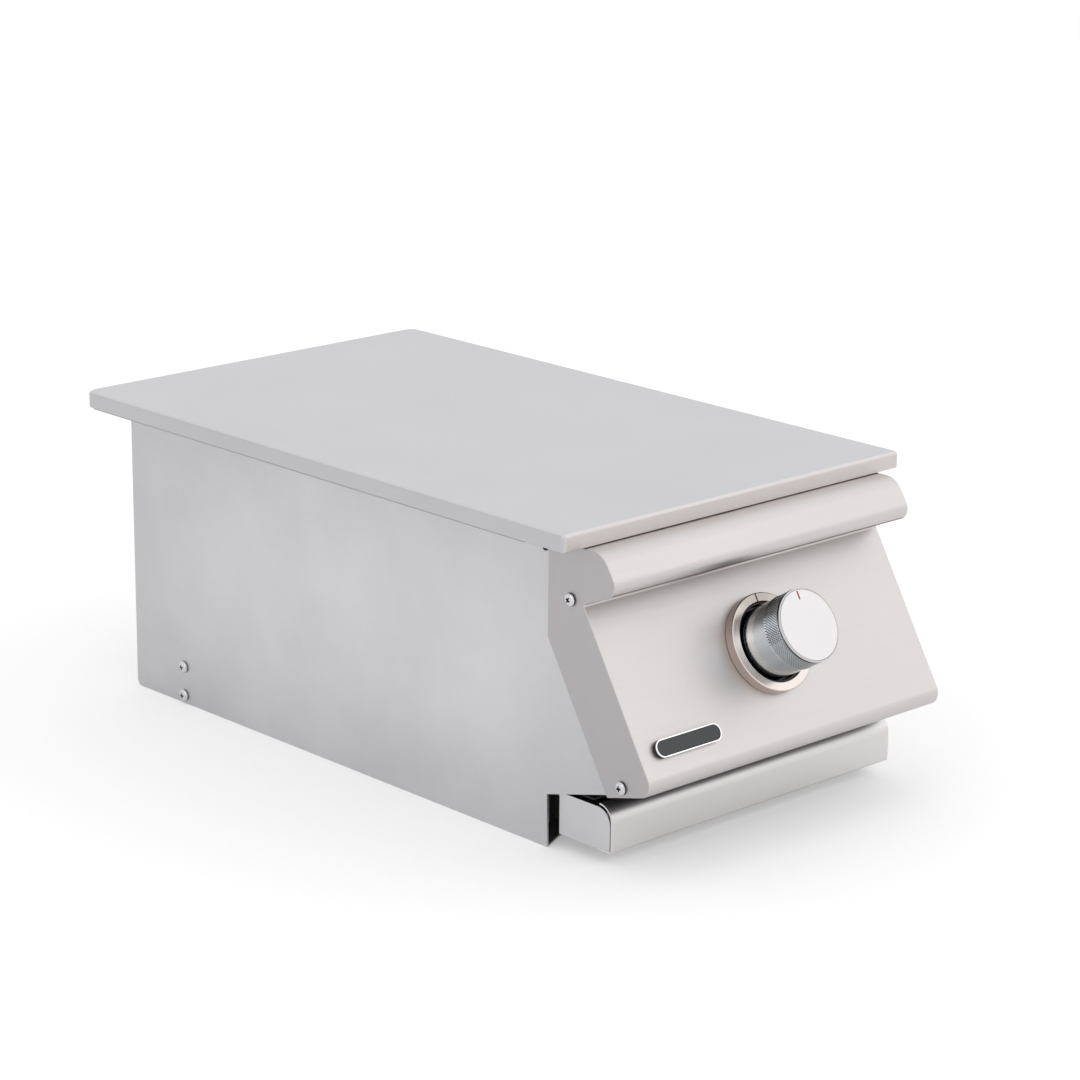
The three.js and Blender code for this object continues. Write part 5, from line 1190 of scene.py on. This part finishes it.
class SIDEBURNER_OT_stage(bpy.types.Operator):
    """Sets up the floor, the soft light and the camera"""

    bl_idname = "side_burner.stage"
    bl_label = "Stage"

    def execute(self, context):
        context.scene.view_settings.view_transform = "Standard"
        self.floor()
        self.world(context.scene)
        self.lamps()
        self.camera(context.scene)
        return {"FINISHED"}

    def floor(self):
        clear_selection()
        bpy.ops.mesh.primitive_plane_add(size=40, location=(0, 0, -0.2 * MM))
        obj = bpy.context.object
        obj.name = "floor"
        material, tree = new_material("white_studio_floor")
        light = add(tree, "ShaderNodeLightPath").outputs
        mirrored = add(tree, "ShaderNodeMath", {
            0: light["Is Glossy Ray"], 1: light["Is Transmission Ray"],
        }, operation="MAXIMUM")
        faint = add(tree, "ShaderNodeMath", {
            0: mirrored, 1: FLOOR_MIRRORED}, operation="MULTIPLY")
        glow = add(tree, "ShaderNodeMath", {
            0: light["Is Camera Ray"], 1: FLOOR_SEEN, 2: faint,
        }, operation="MULTIPLY_ADD")
        diffuse = add(tree, "ShaderNodeBsdfDiffuse", {
            "Color": (FLOOR_COLOUR, FLOOR_COLOUR, FLOOR_COLOUR, 1)})
        emission = add(tree, "ShaderNodeEmission", {"Strength": glow})
        both = add(tree, "ShaderNodeAddShader", {0: diffuse, 1: emission})
        add(tree, "ShaderNodeOutputMaterial", {"Surface": both})
        obj.data.materials.append(material)

    def world(self, scene):
        world = bpy.data.worlds.new("studio")
        scene.world = world
        world.use_nodes = True
        tree = world.node_tree
        tree.nodes.clear()
        seen = add(tree, "ShaderNodeLightPath").outputs["Is Camera Ray"]
        soft, white = (
            add(tree, "ShaderNodeBackground", {"Color": (1, 1, 1, 1), "Strength": strength})
            for strength in (SKY, 1.0))
        mix = add(tree, "ShaderNodeMixShader", {0: seen, 1: soft, 2: white})
        add(tree, "ShaderNodeOutputWorld", {"Surface": mix})

    def lamps(self):
        target = Vector((0, 0, 0.12))
        for name, spot, size, power in LAMPS:
            clear_selection()
            aim = (target - Vector(spot)).to_track_quat("-Z", "Y").to_euler()
            bpy.ops.object.light_add(type="AREA", location=spot, rotation=aim)
            lamp = bpy.context.object
            lamp.name = name
            lamp.data.energy = power
            lamp.data.size = size

    def camera(self, scene):
        azimuth, elevation, roll = (math.radians(angle) for angle in (AZIMUTH, ELEVATION, ROLL))
        back = Vector((
            math.sin(azimuth) * math.cos(elevation), -math.cos(azimuth) * math.cos(elevation),
            math.sin(elevation)))
        right = Vector((0, 0, 1)).cross(back).normalized()
        up = back.cross(right)
        turned = Matrix((right, up, back)).transposed() @ Matrix.Rotation(roll, 3, "Z")
        clear_selection()
        bpy.ops.object.camera_add(location=CAMERA_SPOT, rotation=turned.to_euler())
        camera = bpy.context.object
        camera.data.sensor_width = SENSOR
        camera.data.lens = LENS
        camera.data.dof.use_dof = False
        scene.camera = camera


PIECES = (
    SIDEBURNER_OT_cover, SIDEBURNER_OT_fascia, SIDEBURNER_OT_cheeks, SIDEBURNER_OT_knob,
    SIDEBURNER_OT_bezel, SIDEBURNER_OT_badge, SIDEBURNER_OT_screws, SIDEBURNER_OT_tray,
    SIDEBURNER_OT_grate, SIDEBURNER_OT_fittings, SIDEBURNER_OT_sheets, SIDEBURNER_OT_stage,
)


class SIDEBURNER_PT_panel(bpy.types.Panel):
    """Lists the burner's pieces, sizes and colours"""

    bl_idname = "SIDEBURNER_PT_panel"
    bl_label = "Side burner"
    bl_space_type = "VIEW_3D"
    bl_region_type = "UI"
    bl_category = "Side burner"

    def draw(self, context):
        for piece in PIECES:
            self.layout.operator(piece.bl_idname)
        for group in (context.scene.side_burner_shape, context.scene.side_burner_finish):
            for name in group.bl_rna.properties.keys():
                if name not in ("rna_type", "name"):
                    self.layout.prop(group, name)


CLASSES = (SideBurnerShape, SideBurnerFinish, *PIECES, SIDEBURNER_PT_panel)


def register():
    for entry in CLASSES:
        bpy.utils.register_class(entry)
    bpy.types.Scene.side_burner_shape = PointerProperty(type=SideBurnerShape)
    bpy.types.Scene.side_burner_finish = PointerProperty(type=SideBurnerFinish)


def unregister():
    del bpy.types.Scene.side_burner_finish
    del bpy.types.Scene.side_burner_shape
    for entry in reversed(CLASSES):
        bpy.utils.unregister_class(entry)


def main():
    """Makes every piece and the stage"""
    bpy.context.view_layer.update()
    register()
    for piece in PIECES:
        group, name = piece.bl_idname.split(".")
        getattr(getattr(bpy.ops, group), name)()
    clear_selection()


if __name__ == "__main__":
    main()
